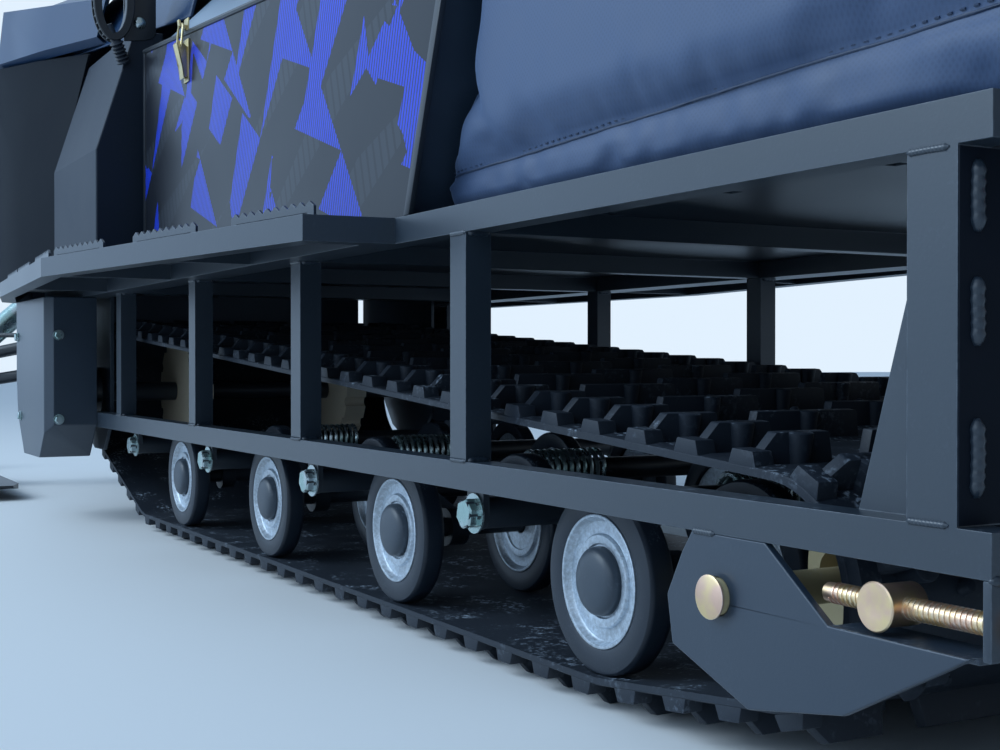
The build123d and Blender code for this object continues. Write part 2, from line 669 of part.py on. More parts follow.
with BuildPart() as belly_tub:
    tub_loft(0, 0, Mode.ADD)
    tub_loft(SHEET + 1, 60, Mode.SUBTRACT)
    with Locations((TUB_REAR_X, 0, DECK_Z + 300)):
        Box(40, 2 * TUB[0][1] - 60, 600, mode=Mode.SUBTRACT)
    with Locations((ROD_SLOT_X, 0, (ROD_LEFT_Z + ROD_RIGHT_Z + EYE_H) / 2)):
        Box(ROD_SLOT_LEN, 3 * TUB[0][1], ROD_SLOT_H, mode=Mode.SUBTRACT)
    for side in (1, -1):
        with BuildSketch(side_plane(side * TUB[0][1])):
            with BuildLine():
                Polyline((COLUMN_FRONT, DECK_Z), (TUB_REAR_X + 6, DECK_Z), (TUB_REAR_X + 6, TUB[0][3] - 6),
                         (TUB_REAR_X, TUB[0][3]), (COLUMN_FRONT, COWL_TOP_Z), close=True)
            make_face()
        extrude(amount=side * (SHEET + 1))
    with Locations((CRANK_X, 0, (STEER_PLATE_Z - 6 + TUB_FLOOR_Z) / 2)):
        Cylinder(34, STEER_PLATE_Z - 6 - TUB_FLOOR_Z)
    with Locations((CRANK_X, 0, STEER_PLATE_Z)):
        Cylinder(CRANK_POST_R, 12)
    with Locations((EXHAUST_X, EXHAUST_Y, TUB_FLOOR_Z - 22)):
        Cylinder(22, 44)
        Cylinder(18, 60, mode=Mode.SUBTRACT)
    for side in (1, -1):
        with Locations((HINGE_X - 16, side * HINGE_Y, HINGE_Z - HINGE_R - 2)):
            Box(32, 30, 20)
        with Locations(Location((HINGE_X, side * HINGE_Y, HINGE_Z), (90, 0, 0))):
            Cylinder(HINGE_R + 5, 30)
            Cylinder(HINGE_R, 90)
finish(belly_tub.part, "belly_tub")

# Hood, hollow and open at the rear, with its hinge knuckles
with BuildPart() as hood:
    shell_loft(HOOD, SHEET + 1)
    with Locations((HOOD[0][0], 0, 880)):
        Box(30, 1000, 400, mode=Mode.SUBTRACT)
    for side in (1, -1):
        for offset_y in (-31, 31):
            with Locations((HINGE_X + 4, side * HINGE_Y + offset_y, (HINGE_Z + HOOD[3][3]) / 2 + 10)):
                Box(16, 26, HOOD[3][3] - HINGE_Z + 20)
            with Locations(Location((HINGE_X, side * HINGE_Y + offset_y, HINGE_Z), (90, 0, 0))):
                Cylinder(HINGE_R + 5, 26)
            with Locations(Location((HINGE_X, side * HINGE_Y + offset_y, HINGE_Z), (90, 0, 0))):
                Cylinder(HINGE_R + FIT, 26, mode=Mode.SUBTRACT)
finish(hood.part, "hood")

# Windshield, a bent sheet on the hood
SHIELD_T = 4.0
SHIELD_X = 243.0


def hood_top(x):
    """Height of the hood's top on its rear stretch."""
    (x0, _, _, _, z0), (x1, _, _, _, z1) = HOOD[0], HOOD[1]
    return z0 + (z1 - z0) * (x - x0) / (x1 - x0)


with BuildPart() as windshield:
    shield_plane = Plane(origin=(SHIELD_X, 0, hood_top(SHIELD_X) + FIT), x_dir=(0, 1, 0), z_dir=(0.74, 0, 0.67))
    with BuildSketch(shield_plane):
        with BuildLine():
            Polyline((-238, 0), (-250, 130), (-180, 290), (180, 290), (250, 130), (238, 0), close=True)
        make_face()
        fillet(vertices().group_by(Axis.Y)[-1], 30)
    extrude(amount=SHIELD_T)
finish(windshield.part, "windshield")

# Headlamp on the front of the hood
with BuildPart() as headlamp:
    with BuildSketch(Plane.YZ.offset(HOOD[3][0])):
        with Locations((0, 560)):
            RectangleRounded(230, 90, 20)
    extrude(amount=28, taper=8)
finish(headlamp.part, "headlamp")

# Dashboard on the front of the engine cover, with the bearing of the steering column
DASH_FRONT = -85.0
DASH_REAR = -132.0

with BuildPart() as dashboard:
    with BuildSketch(side_plane(0)):
        with BuildLine():
            Polyline((DASH_FRONT, cover_top(DASH_FRONT)), (DASH_FRONT, 975), (DASH_FRONT - 14, 1000),
                     (DASH_REAR + 21, 1000), (DASH_REAR, 900), (DASH_REAR, cover_top(DASH_REAR)), close=True)
        make_face()
    extrude(amount=200, both=True)
    add(tube_between(tuple(steer_foot), tuple(steer_top), COLUMN_R + FIT), mode=Mode.SUBTRACT)
finish(dashboard.part, "dashboard")

# Toggle latches between the side panels and the engine cover
LATCH_X = -215.0
with BuildPart() as latch_left:
    with Locations((LATCH_X, PANEL_Y + 3, 705)):
        Box(22, 6, 40)
    with Locations((LATCH_X, PANEL_Y + 9, 715)):
        Box(14, 6, 64)
with BuildPart() as latches:
    add(both_sides(latch_left.part))
finish(latches.part, "latches")

# Air intake rings on the rear of the columns
INTAKE_R = 62.0
INTAKE_RIM = 16.0
INTAKE_Y = 375.0
INTAKE_Z = 825.0
BRACKET = (30.0, 36.0)
with BuildPart() as intake_left:
    with BuildSketch(Plane.YZ.offset(COLUMN_REAR)):
        with Locations((INTAKE_Y, INTAKE_Z)):
            Circle(INTAKE_R)
            Circle(INTAKE_R - INTAKE_RIM, mode=Mode.SUBTRACT)
        with Locations((COLUMN_TOP_OUT, INTAKE_Z - INTAKE_R + BRACKET[1] / 2 - 2)):
            Rectangle(*BRACKET)
    extrude(amount=-12)
with BuildPart() as intake_rings:
    add(both_sides(intake_left.part))
finish(intake_rings.part, "intake_rings")

# Seat cushion, backrest and rear carrier
with BuildPart() as seat_cushion:
    with BuildSketch(side_plane(0)):
        with BuildLine():
            Polyline((SEAT_FRONT_LOW, DECK_Z + FIT), (SEAT_FRONT_LOW - SEAT_LEAN * (SEAT_TOP - DECK_Z), SEAT_TOP),
                     (SEAT_REAR, SEAT_TOP), (SEAT_REAR, DECK_Z + FIT), close=True)
        make_face()
        fillet(vertices().group_by(Axis.Y)[-1], 45)
    extrude(amount=SEAT_HALF, both=True)
    fillet(seat_cushion.faces().filter_by(Axis.Y).edges(), 18)
finish(seat_cushion.part, "seat_cushion")

CARRIER_X = -1777.0
CARRIER_HALF = 260.0
CARRIER_Z = DECK_Z - TUBE / 2
BACK_X = -1717.0
BACK_TUBE_R = 11.0
with BuildPart() as rear_carrier:
    with BuildLine():
        FilletPolyline((REAR_X, CARRIER_HALF, CARRIER_Z), (CARRIER_X, CARRIER_HALF, CARRIER_Z),
                       (CARRIER_X, -CARRIER_HALF, CARRIER_Z), (REAR_X, -CARRIER_HALF, CARRIER_Z), radius=60)
    with BuildSketch(Plane(origin=(REAR_X, CARRIER_HALF, CARRIER_Z), z_dir=(-1, 0, 0))):
        Circle(BACK_TUBE_R)
    sweep()
    with Locations(Location((BACK_X, 0, CARRIER_Z), (90, 0, 0))):
        Cylinder(9, 2 * CARRIER_HALF)
    for y in (-200, 200):
        with Locations((BACK_X, y, 700)):
            Cylinder(BACK_TUBE_R, 2 * (700 - CARRIER_Z))
finish(rear_carrier.part, "rear_carrier")

with BuildPart() as backrest_pad:
    with BuildSketch(Plane.YZ.offset(BACK_X + BACK_TUBE_R + FIT)):
        with Locations((0, 880)):
            RectangleRounded(500, 200, 50)
    extrude(amount=55)
    fillet(backrest_pad.faces().sort_by(Axis.X)[-1].edges(), 15)
finish(backrest_pad.part, "backrest_pad")

# Tail lamp on the rear bar of the carrier, and the snow flap behind the track
with BuildPart() as tail_lamp:
    with Locations((CARRIER_X, 0, CARRIER_Z + BACK_TUBE_R + FIT + 20)):
        Box(22, 160, 40)
    fillet(tail_lamp.edges().filter_by(Axis.Z), 5)
finish(tail_lamp.part, "tail_lamp")

FLAP_LOW = 110.0
FLAP_T = 4.0
FLAP_X = POST_FRONTS[0] - POST_LEN - PLATE - FLAP_T / 2
HITCH_PLATE_W = 90.0
with BuildPart() as snow_flap:
    with Locations((FLAP_X, 0, (FLAP_LOW + UPPER_RAIL_Z) / 2)):
        Box(FLAP_T, 2 * TENSION_Y - 60, UPPER_RAIL_Z - FLAP_LOW)
    with Locations((FLAP_X, 0, UPPER_RAIL_Z)):
        Box(FLAP_T, HITCH_PLATE_W + 4, 2 * (UPPER_RAIL_Z - 306), mode=Mode.SUBTRACT)
finish(snow_flap.part, "snow_flap")

# Tow hitch: a plate on the rear cross tube with a bored tongue
HITCH_X = -1773.0
HITCH_Z = 350.0
HITCH_T = 10.0
HITCH_BORE_R = 10.0
HITCH_HALF = 24.0
HITCH_PLATE_X = POST_FRONTS[0] - POST_LEN / 2 - TUBE / 2
with BuildPart() as tow_hitch:
    with BuildSketch(Plane.XY.offset(HITCH_Z - HITCH_T / 2)):
        with Locations((HITCH_X, 0)):
            Circle(HITCH_HALF)
        with Locations(((HITCH_X + HITCH_PLATE_X) / 2, 0)):
            Rectangle(HITCH_PLATE_X - HITCH_X, 2 * HITCH_HALF)
        with Locations((HITCH_X, 0)):
            Circle(HITCH_BORE_R, mode=Mode.SUBTRACT)
    extrude(amount=HITCH_T)
    with Locations((HITCH_PLATE_X - 4, 0, (DECK_Z - SHEET + 310) / 2)):
        Box(8, HITCH_PLATE_W, DECK_Z - SHEET - 310)
finish(tow_hitch.part, "tow_hitch")

# Front arms: kingpin carriers with their upper and lower tubes, cut flush with the tub
ARM_LOW_Z = 226.0
ARM_HIGH_Z = 282.0
ARM_TUBE_R = 13.0
ARM_LOW_RISE = 46.0
ARM_HIGH_RISE = 60.0
ARM_FEET = ((1080.0, 200.0), (1280.0, 150.0))


with BuildPart(mode=Mode.PRIVATE) as tub_body:
    tub_loft(0, 0, Mode.ADD)
with BuildPart() as front_arm:
    with Locations((SPINDLE_X, SKI_Y, (CARRIER_LOW + CARRIER_TOP) / 2)):
        Cylinder(CARRIER_R, CARRIER_TOP - CARRIER_LOW)
    for foot_x, foot_y in ARM_FEET:
        add(tube_between((SPINDLE_X, SKI_Y, ARM_LOW_Z), (foot_x, foot_y, ARM_LOW_Z + ARM_LOW_RISE),
                         ARM_TUBE_R))
        add(tube_between((SPINDLE_X, SKI_Y, ARM_HIGH_Z), (foot_x, foot_y, ARM_HIGH_Z + ARM_HIGH_RISE),
                         ARM_TUBE_R))
    add(tub_body.part, mode=Mode.SUBTRACT)
    with Locations((SPINDLE_X, SKI_Y, (CARRIER_LOW + CARRIER_TOP) / 2)):
        Cylinder(SPINDLE_R + FIT, CARRIER_TOP - CARRIER_LOW, mode=Mode.SUBTRACT)
with BuildPart() as front_arms:
    add(both_sides(front_arm.part))
finish(front_arms.part, "front_arms")

# Shock absorbers from the carriers up to the tub
SHOCK_LOW = (SPINDLE_X + 6, SKI_Y - CARRIER_R, CARRIER_TOP - 22)
SHOCK_HIGH = (SPINDLE_X + 20, 190.0, 500.0)
with BuildPart() as shock:
    add(tube_between(SHOCK_LOW, SHOCK_HIGH, 12))
    low, high = Vector(*SHOCK_LOW), Vector(*SHOCK_HIGH)
    add(tube_between(tuple(low + (high - low) * 0.22), tuple(low + (high - low) * 0.72), 26))
    add(tub_body.part, mode=Mode.SUBTRACT)
    add(front_arm.part, mode=Mode.SUBTRACT)
with BuildPart() as shock_absorbers:
    add(both_sides(shock.part))
finish(shock_absorbers.part, "shock_absorbers")


# Spindles with their saddles, skis and tie rods
def make_spindle(side, rod_z):
    """Steering knuckle of one side: leg, top arm with the tie rod's pin, and the ski saddle."""
    y = side * SKI_Y
    with BuildPart(mode=Mode.PRIVATE) as spindle:
        with Locations((SPINDLE_X, y, (SADDLE_PIN_Z + STEER_PLATE_Z + STEER_PLATE) / 2 + 12)):
            Cylinder(SPINDLE_R, STEER_PLATE_Z + STEER_PLATE - SADDLE_PIN_Z - 24)
        with Locations((SPINDLE_X, y, CARRIER_LOW - FIT - 5)):
            Cylinder(CARRIER_R, 10)
        with BuildSketch(Plane.XY.offset(STEER_PLATE_Z)):
            with Locations((SPINDLE_X - ARM_REACH / 2, y)):
                SlotCenterToCenter(ARM_REACH, 44)
        extrude(amount=STEER_PLATE)
        pin_top = rod_z + EYE_H + 4
        with Locations((SPINDLE_X - ARM_REACH, y, (STEER_PLATE_Z + STEER_PLATE + pin_top) / 2)):
            Cylinder(ROD_PIN_R, pin_top - STEER_PLATE_Z - STEER_PLATE)
        if rod_z > STEER_PLATE_Z + STEER_PLATE + 4:
            with Locations((SPINDLE_X - ARM_REACH, y, (STEER_PLATE_Z + STEER_PLATE + rod_z - 1) / 2)):
                Cylinder(EYE_R - 3, rod_z - 1 - STEER_PLATE_Z - STEER_PLATE)
        with BuildSketch(side_plane(y)):
            with BuildLine():
                Polyline((SPINDLE_X - 40, SADDLE_PIN_Z - 12), (SPINDLE_X + 40, SADDLE_PIN_Z - 12),
                         (SPINDLE_X + 26, SADDLE_PIN_Z + 34), (SPINDLE_X - 26, SADDLE_PIN_Z + 34), close=True)
            make_face()
        extrude(amount=20, both=True)
        with Locations(Location((SPINDLE_X, y, SADDLE_PIN_Z), (90, 0, 0))):
            Cylinder(9, 84)
    return spindle.part


SKI_TOP_Z = SKI_BASE_Z + SKI_T
SKI_BEND_X = 1550.0
SKI_TIP_Z = 175.0


def make_ski(side):
    """Moulded ski with a turned-up tip, a saddle with two cheeks, a tip loop and a runner."""
    y = side * SKI_Y
    with BuildPart(mode=Mode.PRIVATE) as ski:
        with BuildSketch(side_plane(y)):
            with BuildLine():
                Line((SKI_REAR, SKI_BASE_Z + 8), (SKI_REAR + 70, SKI_BASE_Z))
                Line((SKI_REAR + 70, SKI_BASE_Z), (SKI_BEND_X, SKI_BASE_Z))
                ThreePointArc((SKI_BEND_X, SKI_BASE_Z), (SKI_BEND_X + 140, SKI_BASE_Z + 42), (SKI_FRONT, SKI_TIP_Z))
                Line((SKI_FRONT, SKI_TIP_Z), (SKI_FRONT - 9, SKI_TIP_Z + 8))
                ThreePointArc((SKI_FRONT - 9, SKI_TIP_Z + 8), (SKI_BEND_X + 134, SKI_TOP_Z + 42),
                              (SKI_BEND_X, SKI_TOP_Z))
                Line((SKI_BEND_X, SKI_TOP_Z), (SKI_REAR, SKI_TOP_Z))
                Line((SKI_REAR, SKI_TOP_Z), (SKI_REAR, SKI_BASE_Z + 8))
            make_face()
        extrude(amount=SKI_W / 2, both=True)
        with BuildSketch(Plane.XY):
            with BuildLine():
                Polyline((SKI_REAR, y - 50), (SKI_REAR + 60, y - SKI_W / 2), (SKI_BEND_X + 60, y - SKI_W / 2),
                         (SKI_FRONT, y - 34), (SKI_FRONT, y + 34), (SKI_BEND_X + 60, y + SKI_W / 2),
                         (SKI_REAR + 60, y + SKI_W / 2), (SKI_REAR, y + 50), close=True)
            make_face()
        extrude(amount=300, mode=Mode.INTERSECT)
        with Locations((SPINDLE_X - 60, y, SKI_BASE_Z / 2)):
            Box(RUNNER_LEN, 2 * RUNNER_R, SKI_BASE_Z)
        chamfer(ski.edges().filter_by(Axis.X).group_by(Axis.Z)[0], RUNNER_R / 2)
        for cheek in (1, -1):
            with BuildSketch(side_plane(y + cheek * 31)):
                with BuildLine():
                    Polyline((SPINDLE_X - 150, SKI_TOP_Z - 2), (SPINDLE_X + 150, SKI_TOP_Z - 2),
                             (SPINDLE_X + 24, SADDLE_PIN_Z + 16), (SPINDLE_X - 24, SADDLE_PIN_Z + 16), close=True)
                make_face()
                with Locations((SPINDLE_X, SADDLE_PIN_Z)):
                    Circle(9 + FIT, mode=Mode.SUBTRACT)
            extrude(amount=7, both=True)
    return ski.part


for side, name in ((1, "left"), (-1, "right")):
    finish(make_spindle(side, ROD_LEFT_Z if side > 0 else ROD_RIGHT_Z), f"spindle_{name}")
    finish(make_ski(side), f"ski_{name}")

for side, name, rod_z in ((1, "left", ROD_LEFT_Z), (-1, "right", ROD_RIGHT_Z)):
    inner = Vector(CRANK_X - ARM_REACH, 0, rod_z)
    outer = Vector(SPINDLE_X - ARM_REACH, side * SKI_Y, rod_z)
    along = (outer - inner).normalized()
    with BuildPart() as tie_rod:
        for eye in (inner, outer):
            with Locations(eye + Vector(0, 0, EYE_H / 2)):
                Cylinder(EYE_R, EYE_H)
        add(tube_between(tuple(inner + along * (EYE_R - 4) + Vector(0, 0, EYE_H / 2)),
                         tuple(outer - along * (EYE_R - 4) + Vector(0, 0, EYE_H / 2)), ROD_R))
        for eye in (inner, outer):
            with Locations(eye + Vector(0, 0, EYE_H / 2)):
                Cylinder(ROD_PIN_R + FIT, EYE_H, mode=Mode.SUBTRACT)
    finish(tie_rod.part, f"tie_rod_{name}")

# Bellcrank, which turns on the tub's post and carries the pin of both tie rods
JOINT_R = 20.0
JOINT_TOP_Z = STEER_FOOT_Z + JOINT_R * steer_axis.X - FIT
with BuildPart() as bellcrank:
    with BuildSketch(Plane.XY.offset(STEER_PLATE_Z)):
        with Locations((CRANK_X - ARM_REACH / 2, 0)):
            SlotCenterToCenter(ARM_REACH, 48)
    extrude(amount=STEER_PLATE)
    with Locations((CRANK_X, 0, STEER_PLATE_Z)):
        Cylinder(CRANK_POST_R + FIT, 12 + 2 * FIT, mode=Mode.SUBTRACT)
    with Locations((CRANK_X - ARM_REACH, 0, (STEER_PLATE_Z + STEER_PLATE + ROD_RIGHT_Z + EYE_H + 4) / 2)):
        Cylinder(ROD_PIN_R, ROD_RIGHT_Z + EYE_H + 4 - STEER_PLATE_Z - STEER_PLATE)
    with Locations((CRANK_X, 0, (STEER_PLATE_Z + STEER_PLATE + JOINT_TOP_Z) / 2)):
        Cylinder(CRANK_POST_R, JOINT_TOP_Z - STEER_PLATE_Z - STEER_PLATE)
finish(bellcrank.part, "bellcrank")

# Steering column, in line with the handlebar's turning axis
with BuildPart() as steering_column:
    add(tube_between(tuple(steer_foot), tuple(steer_top), COLUMN_R))
    add(tube_between(tuple(steer_foot), tuple(steer_foot + steer_axis * 40), JOINT_R))
finish(steering_column.part, "steering_column")

# Handlebar with its riser and grips
BAR_R = 11.0
BAR_BEND_Y = 90.0
BAR_TIP = (-282.0, 385.0, 1098.0)
bar_bend = (-219.0, BAR_BEND_Y, 1078.0)
with BuildPart() as handlebar:
    with BuildLine() as bar_line:
        FilletPolyline((BAR_TIP[0], -BAR_TIP[1], BAR_TIP[2]), (bar_bend[0], -bar_bend[1], bar_bend[2]),
                       bar_bend, BAR_TIP, radius=45)
    with BuildSketch(Plane(origin=bar_line.line @ 0, z_dir=bar_line.line % 0)):
        Circle(BAR_R)
    sweep()
    with BuildSketch(Plane(origin=tuple(steer_top), z_dir=tuple(steer_axis))):
        Circle(24)
    extrude(amount=16)
    with Locations((bar_bend[0] - 9, 0, 1067)):
        Box(36, 60, 40)
finish(handlebar.part, "handlebar")

GRIP_R = 17.0
GRIP_LEN = 125.0
bar_dir = (Vector(*BAR_TIP) - Vector(*bar_bend)).normalized()
grip_end = Vector(*BAR_TIP) + bar_dir * 4
with BuildPart() as grip:
    add(tube_between(tuple(grip_end - bar_dir * GRIP_LEN), tuple(grip_end), GRIP_R))
    add(tube_between(tuple(grip_end - bar_dir * GRIP_LEN), tuple(grip_end - bar_dir * 4), BAR_R + 0.1),
        mode=Mode.SUBTRACT)
with BuildPart() as grips:
    add(both_sides(grip.part))
finish(grips.part, "grips")

# Front bumper
BUMPER_R = 13.0
BUMPER_X = 1420.0
with BuildPart() as front_bumper:
    with BuildLine() as bumper_line:
        FilletPolyline((BUMPER_X - 110, 150, 400), (BUMPER_X, 150, 400), (BUMPER_X, -150, 400),
                       (BUMPER_X - 110, -150, 400), radius=70)
    with BuildSketch(Plane(origin=bumper_line.line @ 0, z_dir=bumper_line.line % 0)):
        Circle(BUMPER_R)
    sweep()
    add(tub_body.part, mode=Mode.SUBTRACT)
finish(front_bumper.part, "front_bumper")
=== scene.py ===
"""Utility snowmobile with a wide paddle track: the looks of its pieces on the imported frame."""
import math

import bmesh
import bpy
from mathutils import Matrix, Vector, noise


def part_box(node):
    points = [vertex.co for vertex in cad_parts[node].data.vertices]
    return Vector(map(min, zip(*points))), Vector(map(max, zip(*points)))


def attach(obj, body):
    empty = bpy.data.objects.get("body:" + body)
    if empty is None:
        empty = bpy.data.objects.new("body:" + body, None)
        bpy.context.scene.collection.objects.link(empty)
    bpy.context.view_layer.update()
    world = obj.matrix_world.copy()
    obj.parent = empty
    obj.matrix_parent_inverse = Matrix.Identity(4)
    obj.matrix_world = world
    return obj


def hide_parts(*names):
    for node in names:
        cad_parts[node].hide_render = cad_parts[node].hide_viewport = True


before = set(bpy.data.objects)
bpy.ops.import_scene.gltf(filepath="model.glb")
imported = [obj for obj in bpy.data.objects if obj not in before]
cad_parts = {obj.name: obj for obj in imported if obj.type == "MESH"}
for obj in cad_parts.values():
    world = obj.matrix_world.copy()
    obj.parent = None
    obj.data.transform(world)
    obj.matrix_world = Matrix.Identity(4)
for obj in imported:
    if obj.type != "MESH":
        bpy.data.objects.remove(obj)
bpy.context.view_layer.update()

bl_info = {
    "name": "Utility snowmobile",
    "version": (1, 0, 0),
    "blender": (4, 5, 0),
    "location": "View3D > Sidebar > Snowmobile",
    "description": "Dresses the frame of a wide-track snowmobile with its pieces and finishes",
    "category": "Object",
}


# Sizes and colours that a user would change

def colour(name, description, value):
    """A colour property with its default."""
    return bpy.props.FloatVectorProperty(
        name=name, description=description, subtype="COLOR", size=3, min=0.0, max=1.0, default=value
    )


def length(name, description, value):
    """A length property in metres with its default."""
    return bpy.props.FloatProperty(
        name=name, description=description, subtype="DISTANCE", unit="LENGTH", min=0.0, default=value
    )


def amount(name, description, value):
    """A property from none to full with its default."""
    return bpy.props.FloatProperty(
        name=name, description=description, subtype="FACTOR", min=0.0, max=1.0, default=value
    )


class SnowmobileFinishes(bpy.types.PropertyGroup):
    """Colours and amounts of the finishes."""

    frame_paint: colour("Frame paint", "Satin paint of the side frames", (0.018, 0.029, 0.043))
    plate_paint: colour("Plate paint", "Paint of the cheek plates and guards", (0.018, 0.032, 0.052))
    rubber: colour("Rubber", "Rubber of the track and the tyres", (0.010, 0.016, 0.026))
    aluminium: colour("Aluminium", "Pressed wheel discs", (0.50, 0.56, 0.62))
    bright_zinc: colour("Bright zinc", "Plating of bolts and washers", (0.52, 0.60, 0.62))
    yellow_zinc: colour("Yellow zinc", "Plating of the tensioners and the axle ends", (0.92, 0.68, 0.36))
    panel: colour("Side panel", "Ground colour of the side panels", (0.008, 0.010, 0.015))
    band: colour("Bands", "Hatched bands on the side panels", (0.010, 0.045, 0.62))
    cover: colour("Engine cover", "Painted engine cover", (0.220, 0.290, 0.370))
    hood: colour("Hood", "Moulded hood", (0.018, 0.046, 0.105))
    seat: colour("Seat", "Woven seat cover", (0.042, 0.074, 0.150))
    wear: amount("Edge wear", "How far the paint is worn along its edges", 0.35)
    dust: amount("Dust", "How much pale dust lies on the faces that look up", 0.30)


class SnowmobileSeat(bpy.types.PropertyGroup):
    """Shape of the padded pieces."""

    swell: length("Swell", "How far the padding may move while it fills", 0.020)
    voxel: length("Voxel", "Mesh size of the padding", 0.012)
    front_reach: length("Front reach", "How far the cover bulges ahead of the cushion's foot", 0.013)
    thread: length("Thread", "Radius of the stitched seam's cord", 0.0022)


class SnowmobileStudio(bpy.types.PropertyGroup):
    """Camera and light."""

    eye: bpy.props.FloatVectorProperty(
        name="Eye", description="Place of the camera", subtype="TRANSLATION", unit="LENGTH",
        default=(-2.140, 0.899, 0.277),
    )
    look: bpy.props.FloatVectorProperty(
        name="Look", description="Direction of the camera", subtype="DIRECTION",
        default=(0.8762, -0.4819, -0.0086),
    )
    lens: bpy.props.FloatProperty(
        name="Lens", description="Focal length on a 36 mm sensor", unit="CAMERA", subtype="DISTANCE_CAMERA",
        min=1.0, default=50.4,
    )
    sky: colour("Sky", "Colour of the soft light all round", (0.46, 0.69, 1.0))
    glow: amount("Glow", "Strength of the sky before its sides are made brighter", 0.30)
    floor: colour("Floor", "Colour of the floor", (0.90, 0.88, 0.85))


# Node helpers

def add(tree, kind, inputs=None, **settings):
    """A shader node with its settings, and its inputs linked or set."""
    made = tree.nodes.new(kind)
    for key, value in settings.items():
        setattr(made, key, value)
    for key, value in (inputs or {}).items():
        socket = made.inputs[key]
        if isinstance(value, bpy.types.NodeSocket):
            tree.links.new(value, socket)
        else:
            socket.default_value = value
    return made


def maths(tree, operation, *values, clamp=False):
    """The result of a Math node."""
    inputs = dict(enumerate(values))
    return add(tree, "ShaderNodeMath", inputs, operation=operation, use_clamp=clamp).outputs[0]


def mix_colour(tree, factor, first, second):
    """The result of a colour Mix node."""
    return add(tree, "ShaderNodeMix", {0: factor, 6: first, 7: second}, data_type="RGBA").outputs[2]


def ramp(tree, factor, low, high):
    """0 below low and 1 above high, with a smooth step between."""
    inputs = {0: factor, 1: low, 2: high, 3: 0.0, 4: 1.0}
    return add(tree, "ShaderNodeMapRange", inputs, interpolation_type="SMOOTHSTEP").outputs[0]


def metres(tree):
    """Texture coordinates in metres, in the frame of the whole snowmobile."""
    return add(tree, "ShaderNodeTexCoord").outputs["Object"]


def grey_noise(tree, scale, detail=4.0, roughness=0.55):
    """A noise value of about 0 to 1."""
    inputs = {"Vector": metres(tree), "Scale": scale, "Detail": detail, "Roughness": roughness}
    return add(tree, "ShaderNodeTexNoise", inputs).outputs[0]


def rgba(values):
    """A colour property as a socket value."""
    return (values[0], values[1], values[2], 1.0)


# Effects that several finishes share, as node groups

def new_group(name, inputs, outputs):
    """An empty shader node group with float sockets; returns it, its inputs and its results."""
    group = bpy.data.node_groups.new(name, "ShaderNodeTree")
    for label, value in inputs.items():
        group.interface.new_socket(label, in_out="INPUT", socket_type="NodeSocketFloat").default_value = value
    for label in outputs:
        group.interface.new_socket(label, in_out="OUTPUT", socket_type="NodeSocketFloat")
    return group, group.nodes.new("NodeGroupInput").outputs, group.nodes.new("NodeGroupOutput").inputs


def make_edge_wear():
    """Mask of the edges where paint or plating is rubbed thin."""
    group, given, result = new_group("Edge wear", {"Width": 0.0015, "Amount": 0.5}, ["Mask"])
    bevel = add(group, "ShaderNodeBevel", {"Radius": given["Width"]}, samples=6)
    geometry = add(group, "ShaderNodeNewGeometry")
    normals = {0: bevel.outputs[0], 1: geometry.outputs["Normal"]}
    facing = add(group, "ShaderNodeVectorMath", normals, operation="DOT_PRODUCT")
    edge = ramp(group, facing.outputs["Value"], 0.995, 0.86)
    broken = ramp(group, grey_noise(group, 90.0, 6.0, 0.7), 0.40, 0.62)
    worn = maths(group, "MULTIPLY", edge, broken)
    group.links.new(maths(group, "MULTIPLY", worn, given["Amount"], clamp=True), result["Mask"])
    return group


def make_dust():
    """Mask of the pale dust that lies on faces that look up."""
    group, given, result = new_group("Dust", {"Scale": 60.0, "Amount": 0.4, "Sides": 0.1}, ["Mask"])
    normal = add(group, "ShaderNodeNewGeometry").outputs["Normal"]
    up = add(group, "ShaderNodeSeparateXYZ", {0: normal}).outputs["Z"]
    lying = maths(group, "MAXIMUM", ramp(group, up, 0.35, 0.95), given["Sides"])
    cloud = ramp(group, grey_noise(group, given["Scale"], 5.0, 0.65), 0.48, 0.70)
    fine = maths(group, "MULTIPLY", given["Scale"], 9.0)
    speck = ramp(group, grey_noise(group, fine, 3.0, 0.6), 0.50, 0.66)
    spread = maths(group, "MULTIPLY", lying, maths(group, "MULTIPLY", cloud, speck))
    group.links.new(maths(group, "MULTIPLY", spread, given["Amount"], clamp=True), result["Mask"])
    return group


def make_grain():
    """Height of a fine grain, and a slow drift of tone."""
    group, given, result = new_group("Grain", {"Scale": 900.0, "Drift": 4.0}, ["Height", "Tone"])
    fine = grey_noise(group, given["Scale"], 3.0, 0.6)
    group.links.new(fine, result["Height"])
    group.links.new(grey_noise(group, given["Drift"], 3.0, 0.5), result["Tone"])
    return group


def make_weave():
    """Height and tone of a close twill weave; the size is the thread pitch in metres."""
    group, given, result = new_group("Weave", {"Pitch": 0.0022}, ["Height", "Tone"])
    split = add(group, "ShaderNodeSeparateXYZ", {0: metres(group)})
    turn = maths(group, "DIVIDE", math.tau, given["Pitch"])
    along = maths(group, "ADD", split.outputs["X"], maths(group, "MULTIPLY", split.outputs["Y"], 0.6))
    across = maths(group, "SUBTRACT", split.outputs["Z"], maths(group, "MULTIPLY", split.outputs["Y"], 0.8))
    first = maths(group, "SINE", maths(group, "MULTIPLY", maths(group, "ADD", along, across), turn))
    second = maths(group, "SINE", maths(group, "MULTIPLY", maths(group, "SUBTRACT", along, across), turn))
    height = maths(group, "MAXIMUM", first, second)
    group.links.new(maths(group, "MULTIPLY_ADD", height, 0.5, 0.5), result["Height"])
    group.links.new(grey_noise(group, 26.0, 5.0, 0.6), result["Tone"])
    return group


EFFECTS = {"edge_wear": make_edge_wear, "dust": make_dust, "grain": make_grain, "weave": make_weave}


